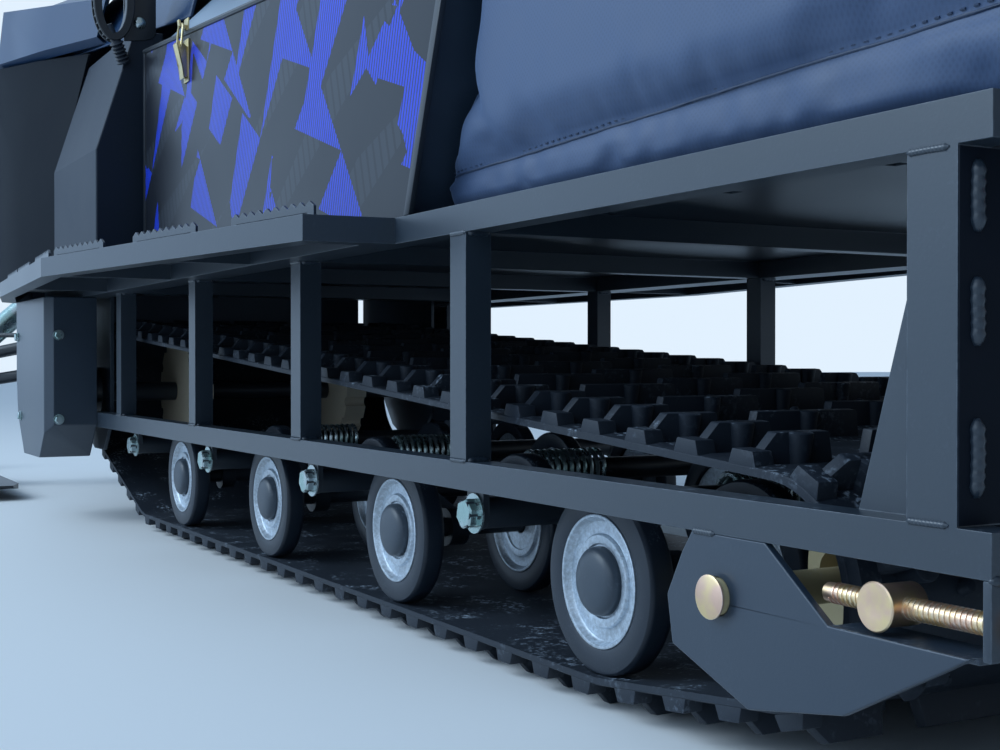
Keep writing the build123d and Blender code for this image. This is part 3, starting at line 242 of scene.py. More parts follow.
def effect(tree, name, **inputs):
    """Places a shared effect in a material and returns its outputs."""
    group = bpy.data.node_groups.get(name.replace("_", " ").capitalize()) or EFFECTS[name]()
    return add(tree, "ShaderNodeGroup", inputs, node_tree=group).outputs


def start_finish(name, **shader):
    """A new material, its tree and its Principled BSDF, with constants set on the shader's own sockets."""
    material = bpy.data.materials.new(name)
    material.use_nodes = True
    tree = material.node_tree
    bsdf = tree.nodes["Principled BSDF"]
    for key, value in shader.items():
        bsdf.inputs[key.replace("_", " ")].default_value = value
    return material, tree, bsdf


def feed(tree, bsdf, colour_result, rough_result):
    """Links a colour and a roughness into the shader."""
    tree.links.new(colour_result, bsdf.inputs["Base Color"])
    tree.links.new(rough_result, bsdf.inputs["Roughness"])


def shades(tree, factor, tint, dark, bright):
    """A colour that drifts from a darker to a brighter shade of its tint."""
    tint = Vector(tint)
    return mix_colour(tree, factor, rgba(tint * dark), rgba(tint * bright))


def raise_surface(tree, bsdf, height, distance, strength):
    """Feeds a height into the material's bump; the distance is in metres."""
    bump = add(tree, "ShaderNodeBump", {"Height": height, "Distance": distance, "Strength": strength})
    tree.links.new(bump.outputs[0], bsdf.inputs["Normal"])


# Finishes

PALE_DUST = (0.62, 0.72, 0.84, 1.0)


def paint_finish(name, tint, roughness, wear, dust):
    """Satin powder paint with a fine peel, edges rubbed pale and a little dust on top."""
    material, tree, bsdf = start_finish(name, Coat_Weight=0.40, Coat_Roughness=0.30)
    grain = effect(tree, "grain", Scale=420.0, Drift=3.0)
    worn = effect(tree, "edge_wear", Width=0.0018, Amount=wear)["Mask"]
    dusty = effect(tree, "dust", Scale=34.0, Amount=dust, Sides=0.05)["Mask"]
    ground = shades(tree, grain["Tone"], tint, 0.78, 1.25)
    rubbed = mix_colour(tree, worn, ground, (0.20, 0.24, 0.28, 1.0))
    rough = maths(tree, "MULTIPLY_ADD", grain["Tone"], 0.16, roughness - 0.08)
    rough = maths(tree, "MAXIMUM", rough, maths(tree, "MULTIPLY", dusty, 0.9))
    feed(tree, bsdf, mix_colour(tree, dusty, rubbed, PALE_DUST), rough)
    raise_surface(tree, bsdf, grain["Height"], 0.00012, 0.6)
    return material


def rubber_finish(name, tint, roughness, dust, scale, sides, gain=1.0):
    """Moulded rubber with a matt grain and pale dust on the faces that look up."""
    material, tree, bsdf = start_finish(name, Specular_IOR_Level=0.45)
    grain = effect(tree, "grain", Scale=700.0, Drift=9.0)
    dusty = effect(tree, "dust", Scale=scale, Amount=dust, Sides=sides)["Mask"]
    ground = shades(tree, grain["Tone"], tint, 0.7, 1.5)
    rough = maths(tree, "MULTIPLY_ADD", grain["Tone"], 0.22, roughness - 0.1)
    feed(tree, bsdf, mix_colour(tree, dusty, ground, (0.60, 0.70, 0.82, 1.0)), rough)
    raise_surface(tree, bsdf, grain["Height"], 0.0002 * gain, 0.7)
    return material


def plated_finish(name, tint, second, roughness, patch=38.0):
    """Zinc plating: metal whose tint drifts between two colours, with fine scratches."""
    material, tree, bsdf = start_finish(name, Metallic=0.9)
    drift = ramp(tree, grey_noise(tree, patch, 3.0, 0.5), 0.35, 0.65)
    worn = effect(tree, "edge_wear", Width=0.0010, Amount=0.7)["Mask"]
    plated = mix_colour(tree, drift, rgba(tint), rgba(second))
    grain = effect(tree, "grain", Scale=1500.0, Drift=60.0)
    rough = maths(tree, "MULTIPLY_ADD", grain["Tone"], 0.25, roughness - 0.1)
    feed(tree, bsdf, mix_colour(tree, worn, plated, (0.80, 0.82, 0.80, 1.0)), rough)
    raise_surface(tree, bsdf, grain["Height"], 0.00008, 0.5)
    return material


def cast_finish(name, tint, roughness, metallic, depth, scale, dust):
    """Cast or pressed light alloy with a mottled skin and pale bloom."""
    material, tree, bsdf = start_finish(name, Metallic=metallic)
    mottle = grey_noise(tree, scale, 6.0, 0.7)
    bloom = effect(tree, "dust", Scale=45.0, Amount=dust, Sides=0.8)["Mask"]
    ground = shades(tree, ramp(tree, mottle, 0.3, 0.7), tint, 0.72, 1.18)
    rough = maths(tree, "MULTIPLY_ADD", mottle, 0.3, roughness - 0.15)
    feed(tree, bsdf, mix_colour(tree, bloom, ground, (0.72, 0.80, 0.88, 1.0)), rough)
    raise_surface(tree, bsdf, mottle, depth, 0.7)
    return material


def plastic_finish(name, tint, roughness, dust=0.15, coat=0.2, texture=0.00010, gloss=0.5):
    """Moulded plastic with a fine grain."""
    material, tree, bsdf = start_finish(name, Coat_Weight=coat, Coat_Roughness=0.2, Specular_IOR_Level=gloss)
    grain = effect(tree, "grain", Scale=600.0, Drift=5.0)
    worn = effect(tree, "edge_wear", Width=0.0012, Amount=0.4)["Mask"]
    dusty = effect(tree, "dust", Scale=30.0, Amount=dust, Sides=0.1)["Mask"]
    ground = shades(tree, grain["Tone"], tint, 0.85, 1.15)
    rubbed = mix_colour(tree, worn, ground, rgba(Vector(tint) * 2.2 + Vector((0.02, 0.02, 0.02))))
    rough = maths(tree, "MULTIPLY_ADD", grain["Tone"], 0.14, roughness - 0.07)
    feed(tree, bsdf, mix_colour(tree, dusty, rubbed, PALE_DUST), rough)
    raise_surface(tree, bsdf, grain["Height"], texture, 0.6)
    return material


def seat_finish(tint):
    """Woven leatherette with a soft sheen."""
    material, tree, bsdf = start_finish(
        "Woven seat cover", Sheen_Weight=0.5, Sheen_Roughness=0.4, Sheen_Tint=(0.45, 0.58, 0.85, 1.0)
    )
    weave = effect(tree, "weave", Pitch=0.0050)
    ground = shades(tree, weave["Tone"], tint, 0.88, 1.15)
    thread = mix_colour(tree, weave["Height"], rgba(Vector(tint) * 0.85), ground)
    feed(tree, bsdf, thread, maths(tree, "MULTIPLY_ADD", weave["Tone"], 0.2, 0.42))
    raise_surface(tree, bsdf, weave["Height"], 0.00006, 0.3)
    return material


def hatch(tree, along, pitch, share):
    """Thin slanted lines: 1 on a line and 0 between."""
    wave = maths(tree, "FRACT", maths(tree, "DIVIDE", along, pitch))
    return maths(tree, "LESS_THAN", wave, share)


def spikes(tree, x, z, slope, pitch, turn, run, width):
    """Long slanted spikes: 1 inside one and 0 between; each widens along its run."""
    row = maths(tree, "FRACT", maths(tree, "DIVIDE", maths(tree, "MULTIPLY_ADD", z, slope, x), pitch))
    grow = maths(tree, "FRACT", maths(tree, "DIVIDE", maths(tree, "MULTIPLY_ADD", x, turn, z), run))
    return maths(tree, "LESS_THAN", row, maths(tree, "MULTIPLY", grow, width))


def panel_finish(ground_tint, band_tint):
    """Glossy side panel with a generic pattern: slanted spikes in two colours, filled with thin lines."""
    material, tree, bsdf = start_finish(
        "Side panel", Coat_Weight=0.10, Coat_Roughness=0.15, Specular_IOR_Level=0.2
    )
    split = add(tree, "ShaderNodeSeparateXYZ", {0: metres(tree)})
    x, z = split.outputs["X"], split.outputs["Z"]
    lines = hatch(tree, maths(tree, "MULTIPLY_ADD", z, 0.30, x), pitch=0.0062, share=0.66)
    rising = spikes(tree, x, z, slope=0.95, pitch=0.170, turn=-0.62, run=0.290, width=0.62)
    falling = spikes(tree, x, z, slope=-0.75, pitch=0.230, turn=0.85, run=0.160, width=0.46)
    patches = add(tree, "ShaderNodeTexVoronoi", {"Vector": metres(tree), "Scale": 5.5, "Randomness": 1.0})
    marks = add(tree, "ShaderNodeSeparateColor", {0: patches.outputs["Color"]})
    rising = maths(tree, "MULTIPLY", rising, maths(tree, "GREATER_THAN", marks.outputs[0], 0.38))
    falling = maths(tree, "MULTIPLY", falling, maths(tree, "GREATER_THAN", marks.outputs[1], 0.52))
    bands = maths(tree, "MULTIPLY", maths(tree, "MAXIMUM", rising, falling), lines)
    steep = hatch(tree, maths(tree, "MULTIPLY_ADD", z, -0.30, x), pitch=0.017, share=0.72)
    blocks = spikes(tree, x, z, slope=1.9, pitch=0.260, turn=0.30, run=0.120, width=0.40)
    grain = effect(tree, "grain", Scale=500.0, Drift=5.0)
    ground = shades(tree, grain["Tone"], ground_tint, 0.8, 1.3)
    greyed = mix_colour(tree, maths(tree, "MULTIPLY", blocks, steep), ground, (0.022, 0.027, 0.036, 1.0))
    banded = mix_colour(tree, bands, greyed, rgba(band_tint))
    dusty = effect(tree, "dust", Scale=20.0, Amount=0.10, Sides=0.02)["Mask"]
    rough = maths(tree, "MULTIPLY_ADD", grain["Tone"], 0.16, 0.24)
    feed(tree, bsdf, mix_colour(tree, dusty, banded, (0.40, 0.48, 0.60, 1.0)), rough)
    raise_surface(tree, bsdf, grain["Tone"], 0.0015, 0.25)
    return material


def clear_finish(name, tint, roughness):
    """Clear or tinted moulded sheet."""
    material, tree, bsdf = start_finish(name, Transmission_Weight=1.0, IOR=1.45)
    smudge = grey_noise(tree, 14.0, 4.0, 0.6)
    rough = maths(tree, "MULTIPLY_ADD", smudge, 0.12, roughness)
    feed(tree, bsdf, shades(tree, smudge, tint, 0.94, 1.0), rough)
    return material


def make_finishes():
    """Every finish by name."""
    tints = bpy.context.scene.snowmobile_finishes
    wear = tints.wear
    dust = tints.dust
    rubber = Vector(tints.rubber)
    thread = Vector(tints.seat) * 0.5
    return {
        "frame": paint_finish("Frame paint", tints.frame_paint, 0.40, wear, dust),
        "plate": paint_finish("Plate paint", tints.plate_paint, 0.42, wear, dust * 0.8),
        "dark steel": paint_finish("Dark steel", (0.012, 0.018, 0.026), 0.45, wear, dust * 0.6),
        "weld": paint_finish("Weld paint", tints.frame_paint, 0.34, wear * 0.6, dust * 0.3),
        "track": rubber_finish("Track rubber", rubber, 0.60, dust=0.75, scale=22.0, sides=0.16),
        "tyre": rubber_finish("Tyre rubber", rubber, 0.42, dust=0.55, scale=60.0, sides=0.05, gain=0.5),
        "flap": rubber_finish("Flap rubber", rubber * 1.2, 0.55, dust=0.3, scale=30.0, sides=0.1),
        "grip": rubber_finish("Grip rubber", rubber, 0.6, dust=0.1, scale=40.0, sides=0.0),
        "brass zinc": plated_finish("Latch plating", (0.72, 0.58, 0.28), (0.60, 0.50, 0.28), 0.34),
        "bright zinc": plated_finish("Bright zinc", tints.bright_zinc, (0.36, 0.52, 0.50), 0.25),
        "yellow zinc": plated_finish("Yellow zinc", tints.yellow_zinc, (0.86, 0.56, 0.42), 0.34, patch=55.0),
        "disc": cast_finish(
            "Pressed aluminium", tints.aluminium, 0.42, metallic=0.75, depth=0.0005, scale=240.0, dust=0.9
        ),
        "cast": cast_finish(
            "Cast alloy", (0.30, 0.32, 0.34), 0.5, metallic=0.8, depth=0.0006, scale=160.0, dust=0.2
        ),
        "cap": plastic_finish("Wheel caps", (0.036, 0.050, 0.068), 0.45, dust=0.5, coat=0.1),
        "thread": plastic_finish("Seam thread", thread, 0.5, dust=0.0, coat=0.0),
        "sprocket": plastic_finish("Sprocket plastic", (0.62, 0.52, 0.38), 0.5, dust=0.2),
        "idler": plastic_finish("Idler plastic", (0.58, 0.47, 0.26), 0.45, dust=0.3),
        # Nose flanks: near black and dull, darker than the other black plastic; this darkness is painted
        # shade.
        "flank": plastic_finish("Flank sheet in painted shade", (0.003, 0.006, 0.011), 0.7, dust=0.0, coat=0.0, gloss=0.10),
        "column": plastic_finish("Column sheet", (0.010, 0.018, 0.032), 0.5, dust=0.05, coat=0.0, gloss=0.28),
        # Rear corner plates: a near-black finish, far darker than the frame paint of the same steel; this
        # darkness is painted shade.
        "corner": plastic_finish(
            "Corner plate painted shade", (0.002, 0.005, 0.011), 0.6, dust=0.0, coat=0.0, gloss=0.15
        ),
        "cover": plastic_finish("Cover paint", tints.cover, 0.34, dust=0.2, coat=0.3),
        "plastic": plastic_finish("Black plastic", (0.010, 0.014, 0.020), 0.42),
        "hood": plastic_finish(
            "Hood plastic", tints.hood, 0.34, dust=0.10, coat=0.1, texture=0.00004, gloss=0.3
        ),
        "ski": plastic_finish("Ski plastic", (0.014, 0.018, 0.026), 0.45, dust=0.2),
        "panel": panel_finish(tints.panel, tints.band),
        "seat": seat_finish(tints.seat),
        "shield": clear_finish("Windshield sheet", (0.80, 0.88, 0.94), 0.05),
        "lens": clear_finish("Lamp lens", (0.95, 0.97, 1.0), 0.02),
        "tail lens": clear_finish("Tail lens", (0.75, 0.02, 0.02), 0.12),
    }


# The finish of each piece of the frame

NODE_FINISH = {
    "frame": (
        "side_frame_left", "side_frame_right", "deck", "running_boards", "rear_carrier", "front_bumper",
    ),
    "plate": ("idler_cheeks", "front_guards", "firewall", "belly_tub"),
    "dark steel": (
        "road_wheel_axles", "pivot_shafts", "trailing_arms", "tow_hitch", "front_arms", "spindle_left",
        "spindle_right", "tie_rod_left", "tie_rod_right", "bellcrank", "steering_column", "handlebar",
    ),
    "track": ("track",),
    "tyre": ("road_wheel_tyres",),
    "flap": ("snow_flap",),
    "grip": ("grips",),
    "disc": ("road_wheel_discs",),
    "cast": ("engine_block",),
    "bright zinc": ("suspension_springs", "shock_absorbers"),
    "yellow zinc": ("tensioners", "latches"),
    "sprocket": ("drive_sprockets",),
    "idler": ("rear_idlers",),
    "panel": ("side_panels",),
    "cover": ("engine_cover",),
    "column": ("columns",),
    "plastic": ("dashboard", "fuel_cap", "intake_rings"),
    "hood": ("hood",),
    "ski": ("ski_left", "ski_right"),
    "seat": ("seat_cushion", "backrest_pad"),
    "shield": ("windshield",),
    "lens": ("headlamp",),
    "tail lens": ("tail_lamp",),
}


# How far the edges of a piece of the frame are rounded, in metres

ROUNDED = {
    "side_frame_left": 0.0022, "side_frame_right": 0.0022, "running_boards": 0.0015, "rear_carrier": 0.0008,
    "idler_cheeks": 0.0012, "front_guards": 0.0020, "columns": 0.0030, "engine_cover": 0.0040, "hood": 0.0060,
    "belly_tub": 0.0020, "deck": 0.0012, "dashboard": 0.0040,
}
SAME_POINT = 0.00002
SHARP_ANGLE = math.radians(22.0)


def round_edges(node, width):
    """Rounds the sharp edges of a piece of the frame, so that they catch the light."""
    merge = node.modifiers.new("Merge", "WELD")
    merge.merge_threshold = SAME_POINT
    edges = node.modifiers.new("Rounded edges", "BEVEL")
    edges.width = width
    edges.segments = 2
    edges.limit_method = "ANGLE"
    edges.angle_limit = SHARP_ANGLE
    edges.harden_normals = True


def finish(name):
    """A finish made by the finishes operator."""
    return bpy.data.materials[bpy.context.scene["finish_names"][name]]


class SNOWMOBILE_OT_finishes(bpy.types.Operator):
    """Makes the finishes and puts them on the pieces of the frame."""

    bl_idname = "snowmobile.finishes"
    bl_label = "Finishes"

    def execute(self, context):
        made = make_finishes()
        context.scene["finish_names"] = {key: material.name for key, material in made.items()}
        for key, nodes in NODE_FINISH.items():
            for name in nodes:
                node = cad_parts[name]
                for slot in node.material_slots:
                    slot.material = made[key]
        for name, width in ROUNDED.items():
            round_edges(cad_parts[name], width)
        return {"FINISHED"}


# Mesh helpers

AHEAD = (1, 0, 0)
BEHIND = (-1, 0, 0)
LEFT = (0, 1, 0)
UP = (0, 0, 1)
ON_AXIS = 1e-6


def drawn(name, key, build):
    """A new object whose mesh the given function draws, with its finish."""
    shape = bmesh.new()
    build(shape)
    bmesh.ops.recalc_face_normals(shape, faces=shape.faces)
    mesh = bpy.data.meshes.new(name)
    shape.to_mesh(mesh)
    shape.free()
    mesh.materials.append(finish(key))
    made = bpy.data.objects.new(name, mesh)
    bpy.context.collection.objects.link(made)
    return made


def shade_smooth(mesh):
    """Shades every face of a mesh smooth."""
    mesh.polygons.foreach_set("use_smooth", [True] * len(mesh.polygons))


def piece(name, key, build, body="chassis", angle=35.0, instead_of=()):
    """A piece that the given function draws, smooth up to an angle; it rides a body of the frame."""
    made = drawn(name, key, build)
    shade_smooth(made.data)
    made.data.set_sharp_from_angle(angle=math.radians(angle))
    if instead_of:
        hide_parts(*instead_of)
    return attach(made, body)


def angles(count, start=0.0):
    """Evenly spaced angles round a full turn."""
    return [start + math.tau * step / count for step in range(count)]


def join_rings(shape, rings, closed=True):
    """Faces between rings of points; a ring of one point closes an end."""
    for first, second in zip(rings, rings[1:]):
        count = max(len(first), len(second))
        for step in range(count if closed else count - 1):
            corners = []
            for ring, number in ((first, step), (first, step + 1), (second, step + 1), (second, step)):
                corner = ring[number % len(ring)]
                if corner not in corners:
                    corners.append(corner)
            shape.faces.new(corners)


def turned(shape, profile, place, direction, sides=32, start=0.0):
    """Turns a profile of (radius, height) round an axis that starts at a place."""
    axes = Vector(direction).to_track_quat("Z", "Y").to_matrix()
    rings = []
    for radius, height in profile:
        ring = []
        for angle in angles(sides if radius > ON_AXIS else 1, start):
            point = Vector((radius * math.cos(angle), radius * math.sin(angle), height))
            ring.append(shape.verts.new(Vector(place) + axes @ point))
        rings.append(ring)
    join_rings(shape, rings)


def tube(shape, points, radii, sides=8):
    """A tube along points, with one radius or one for each point, closed at both ends."""
    points = [Vector(point) for point in points]
    if not isinstance(radii, (list, tuple)):
        radii = [radii] * len(points)
    rings = []
    across = None
    for number, (point, radius) in enumerate(zip(points, radii)):
        ahead = (points[min(number + 1, len(points) - 1)] - points[max(number - 1, 0)]).normalized()
        side = ahead.orthogonal() if across is None else across - ahead * across.dot(ahead)
        across = side.normalized()
        up = ahead.cross(across)
        ring = []
        for angle in angles(sides):
            ring.append(shape.verts.new(point + (across * math.cos(angle) + up * math.sin(angle)) * radius))
        rings.append(ring)
    join_rings(shape, rings)
    shape.faces.new(rings[0])
    shape.faces.new(rings[-1])


def prism(shape, outline, place, across, up, depth, bevel=0.0):
    """A flat outline of (across, up) points at a place, pushed to a depth, with its edges rounded."""
    place, across, up = Vector(place), Vector(across), Vector(up)
    push = across.cross(up).normalized() * depth
    ends = []
    for shift in (Vector(), push):
        ends.append([shape.verts.new(place + across * a + up * b + shift) for a, b in outline])
    faces = [shape.faces.new(ends[0]), shape.faces.new(ends[1])]
    for step in range(len(outline)):
        following = (step + 1) % len(outline)
        faces.append(shape.faces.new((ends[0][step], ends[0][following], ends[1][following], ends[1][step])))
    if bevel:
        edges = list(dict.fromkeys(edge for face in faces for edge in face.edges))
        bmesh.ops.bevel(shape, geom=edges, offset=bevel, segments=2, profile=0.6, affect="EDGES")


def block(shape, low, high, bevel=0.0):
    """A box between two corners."""
    wide, tall = high[0] - low[0], high[2] - low[2]
    outline = ((0, 0), (wide, 0), (wide, tall), (0, tall))
    prism(shape, outline, (low[0], high[1], low[2]), AHEAD, UP, high[1] - low[1], bevel)


def sheet(stations):
    """Draws a thin sheet on the left through outlines of (Y, Z) at stations along X."""
    thickness = 0.003

    def draw(shape):
        for shift in (0.0, -thickness):
            rows = [[shape.verts.new((x, y + shift, z)) for y, z in outline] for x, outline in stations]
            join_rings(shape, rows, closed=False)
    return draw


def hex_bolt(shape, place, direction, across_flats, height):
    """A hexagon head on its washer."""
    radius = across_flats / math.sqrt(3.0)
    rim = radius * 1.30
    washer = ((0.0, 0.0), (rim, 0.0), (rim, 0.0018), (radius * 0.6, 0.0018))
    turned(shape, washer, place, direction, 28)
    head = ((radius, 0.0016), (radius, height * 0.82), (radius * 0.90, height), (0.0, height))
    turned(shape, head, place, direction, 6, 0.3)


def dome_bolt(shape, place, direction, radius):
    """A low round head."""
    profile = []
    for step in range(7):
        angle = step * math.pi / 12
        profile.append((radius * math.cos(angle), radius * 0.55 * math.sin(angle)))
    turned(shape, profile, place, direction, 24)


def weld(shape, start, end, radius):
    """A weld bead: overlapping ripples from one point to another."""
    start, end = Vector(start), Vector(end)
    steps = 3 * max(3, int((end - start).length / (1.3 * radius)))
    points, radii = [], []
    for step in range(steps + 1):
        share = step / steps
        place = start.lerp(end, share)
        drift = noise.noise_vector(place * 60.0) * radius * 0.12
        points.append(place + drift)
        ripple = 1.0 + 0.10 * math.cos(step * math.tau / 3.0)
        tip = min(1.0, 0.35 + 8.0 * min(share, 1.0 - share))
        radii.append(radius * ripple * tip)
    tube(shape, points, radii, 10)


def mirrored(build):
    """Draws a left-hand build on both sides."""
    def draw(shape):
        build(shape)
        copy = bmesh.ops.duplicate(shape, geom=shape.verts[:] + shape.edges[:] + shape.faces[:])["geom"]
        corners = [part for part in copy if isinstance(part, bmesh.types.BMVert)]
        bmesh.ops.scale(shape, vec=(1.0, -1.0, 1.0), verts=corners)
    return draw


# Places on the frame that several pieces share, in metres

WHEELS = 4
WHEEL_ROW_INSET = 0.012
WHEEL_IN_FACE = 0.150
POST_FRONTS = (-1.581, -1.032, -0.630, -0.226, 0.190)
POST_LEN = 0.030
PLATE_X = POST_FRONTS[0] - POST_LEN
WELD_SEED = 7
RAIL = 0.025
POST_HEIGHT = 0.200
LUG_ROWS = 68
LUG_HEIGHT = 0.022
LUG_FOOT = -0.001
BELT = 0.006
BELT_GAP = 0.0003
FRONT_BEND_X = 0.160
FRONT_BEND_RADIUS = 0.100


def middle(name):
    """Centre of a piece of the frame."""
    low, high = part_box(name)
    return [(a + b) / 2.0 for a, b in zip(low, high)]


def along_frame(name):
    """Places along X of the wheels, or of the springs on their pivots, and their radius."""
    low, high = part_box(name)
    radius = (high.z - low.z) / 2.0
    first, last = low.x + radius, high.x - radius
    return [first + (last - first) * number / (WHEELS - 1.0) for number in range(WHEELS)], radius


def wheel_places():
    """Centres of the road wheels and the side that each shows, with the tyre's radius."""
    stations, radius = along_frame("road_wheel_tyres")
    out_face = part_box("road_wheel_tyres")[1].y
    z = middle("road_wheel_tyres")[2]
    places = []
    for x in stations:
        for face in (out_face, WHEEL_IN_FACE):
            for side in (1.0, -1.0):
                places.append((Vector((x, side * (face - WHEEL_ROW_INSET), z)), side))
    return places, radius


def frame_levels():
    """Outer face of the left side frame, top of the lower rail and underside of the upper rail."""
    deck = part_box("deck")[1].z
    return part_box("side_frame_left")[1].y, deck - RAIL - POST_HEIGHT, deck - RAIL


# Running gear, with the profiles of a road wheel as (radius, height) for a tyre of NOMINAL_RADIUS

NOMINAL_RADIUS = 0.075
TYRE = (
    (0.0536, -0.0105), (0.0560, -0.0118), (0.0690, -0.0120), (0.0728, -0.0112), (0.0746, -0.0092),
    (0.0750, -0.0065), (0.0750, 0.0065), (0.0746, 0.0092), (0.0728, 0.0112), (0.0690, 0.0120),
    (0.0560, 0.0118), (0.0536, 0.0105), (0.0536, -0.0105),
)
DISC = (
    (0.0120, -0.0058), (0.0531, -0.0058), (0.0535, 0.0100), (0.0534, 0.0116), (0.0526, 0.0120),
    (0.0512, 0.0118), (0.0504, 0.0108), (0.0490, 0.0068), (0.0476, 0.0056), (0.0392, 0.0052),
    (0.0380, 0.0056), (0.0373, 0.0078), (0.0364, 0.0086), (0.0322, 0.0088), (0.0300, 0.0082),
    (0.0290, 0.0064), (0.0120, 0.0062),
)
CAP = (
    (0.0276, 0.0), (0.0276, 0.0050), (0.0268, 0.0074), (0.0245, 0.0098), (0.0200, 0.0116),
    (0.0130, 0.0128), (0.0060, 0.0131), (0.0, 0.0132),
)
CAP_SEAT = 0.0064


class SNOWMOBILE_OT_wheels(bpy.types.Operator):
    """Builds the tyres, the pressed discs and the domed caps of the road wheels."""

    bl_idname = "snowmobile.wheels"
    bl_label = "Road wheels"

    def execute(self, context):
        places, radius = wheel_places()
        scale = radius / NOMINAL_RADIUS

        def wheel_part(profile, sides, lift=0.0, outer_only=False):
            grown = [(reach * scale, height) for reach, height in profile]

            def draw(shape):
                for place, side in places:
                    if not outer_only or abs(place.y) > WHEEL_IN_FACE:
                        turned(shape, grown, place + Vector((0, side * lift, 0)), (0, side, 0), sides)
            return draw

        piece("Road_wheel_tyres", "tyre", wheel_part(TYRE, 72), instead_of=("road_wheel_tyres",))
        piece("Road_wheel_discs", "disc", wheel_part(DISC, 64), instead_of=("road_wheel_discs",))
        piece("Road_wheel_caps", "cap", wheel_part(CAP, 48, CAP_SEAT, True))
        return {"FINISHED"}


def loop_circles():
    """Circles that the belt runs round: rear idler, rear wheel, front bend and drive sprocket."""
    ground = BELT + LUG_HEIGHT
    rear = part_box("road_wheel_tyres")[0].x
    radius = along_frame("road_wheel_tyres")[1]
    ends = []
    for name in ("rear_idlers", "drive_sprockets"):
        x, _, z = middle(name)
        ends.append((x, z, along_frame(name)[1] + BELT_GAP))
    bend = (FRONT_BEND_X, ground + FRONT_BEND_RADIUS, FRONT_BEND_RADIUS)
    return ends[0], (rear + radius, ground + radius, radius), bend, ends[1]


def arc(x, z, radius, start, swept):
    """A run round a circle: its length, and the place and outward angle at a distance along it."""
    def place(distance):
        angle = start + distance / radius
        return x + radius * math.cos(angle), z + radius * math.sin(angle), angle
    return radius * swept, place


def straight(start, end, angle):
    """A straight run between two points, in the same form as an arc."""
    run = math.hypot(end[0] - start[0], end[1] - start[1])

    def place(distance):
        x = start[0] + (end[0] - start[0]) * distance / run
        z = start[1] + (end[1] - start[1]) * distance / run
        return x, z, angle
    return run, place


def loop_runs(extra):
    """Arcs and straight runs of the loop, forward along the floor first."""
    circles = [(x, z, radius + extra) for x, z, radius in loop_circles()]
    pairs = list(zip(circles, circles[1:] + circles[:1]))
    normals = []
    for (xa, za, ra), (xb, zb, rb) in pairs:
        gap = math.hypot(xb - xa, zb - za)
        dx, dz = (xb - xa) / gap, (zb - za) / gap
        lean = (ra - rb) / gap
        side = math.sqrt(1.0 - lean * lean)
        normals.append((dx * lean + dz * side, dz * lean - dx * side))
    runs = []
    for number, ((x, z, radius), (xb, zb, rb)) in enumerate(pairs):
        start = math.atan2(normals[number - 1][1], normals[number - 1][0])
        nx, nz = normals[number]
        angle = math.atan2(nz, nx)
        runs.append(arc(x, z, radius, start, (angle - start) % math.tau))
        runs.append(straight((x + radius * nx, z + radius * nz), (xb + rb * nx, zb + rb * nz), angle))
    return runs


def loop_point(runs, distance):
    """Place and outward angle at a distance along the loop."""
    distance %= sum(run for run, _ in runs)
    for run, place in runs:
        if distance <= run:
            return place(distance)
        distance -= run
    return runs[-1][1](runs[-1][0])


def draw_row(shape, kind, half):
    """One row of the track in flat coordinates: X along the travel, Y across and Z outward."""
    def plate(foot, top):
        outline = ((foot[0], LUG_FOOT), (foot[1], LUG_FOOT), (top[1], LUG_HEIGHT), (top[0], LUG_HEIGHT))
        prism(shape, outline, (-0.005, 0, 0), LEFT, UP, 0.010, 0.0014)

    def rib(y, low, high):
        rim = LUG_HEIGHT - 0.0008
        profile = ((low, LUG_FOOT), (high, rim), (high - 0.001, LUG_HEIGHT), (0.0, LUG_HEIGHT))
        turned(shape, profile, (0.0048, y, 0), UP, 14)

    def studs(profile, x, places):
        for y in places:
            turned(shape, profile, (x, y, 0), UP, 12)

    pad = ((-0.015, LUG_FOOT), (0.015, LUG_FOOT), (0.011, 0.0105), (-0.011, 0.0105))
    for side in (1.0, -1.0):
        foot = sorted((side * (half - 0.078), side * (half - 0.005)))
        plate(foot, sorted((side * (half - 0.073), side * (half - 0.026))))
        rib(side * (half - 0.046), 0.0075, 0.0100)
        prism(shape, pad, (0, side * (half - 0.009) + 0.0085, 0), AHEAD, UP, 0.017, 0.0012)
    for y in (0.0,) if kind == 0 else (0.135, -0.135):
        plate((y - 0.056, y + 0.056), (y - 0.052, y + 0.052))
        rib(y, 0.0065, 0.0085)
    tall = ((0.0070, LUG_FOOT), (0.0042, 0.0090), (0.0030, 0.0105), (0.0, 0.0110))
    studs(tall, 0, (-0.105, 0.105) if kind == 0 else (-0.035, 0.035))
    studs(((0.0060, LUG_FOOT), (0.0038, 0.0070), (0.0, 0.0080)), 0.018, (-0.205, 0.205))


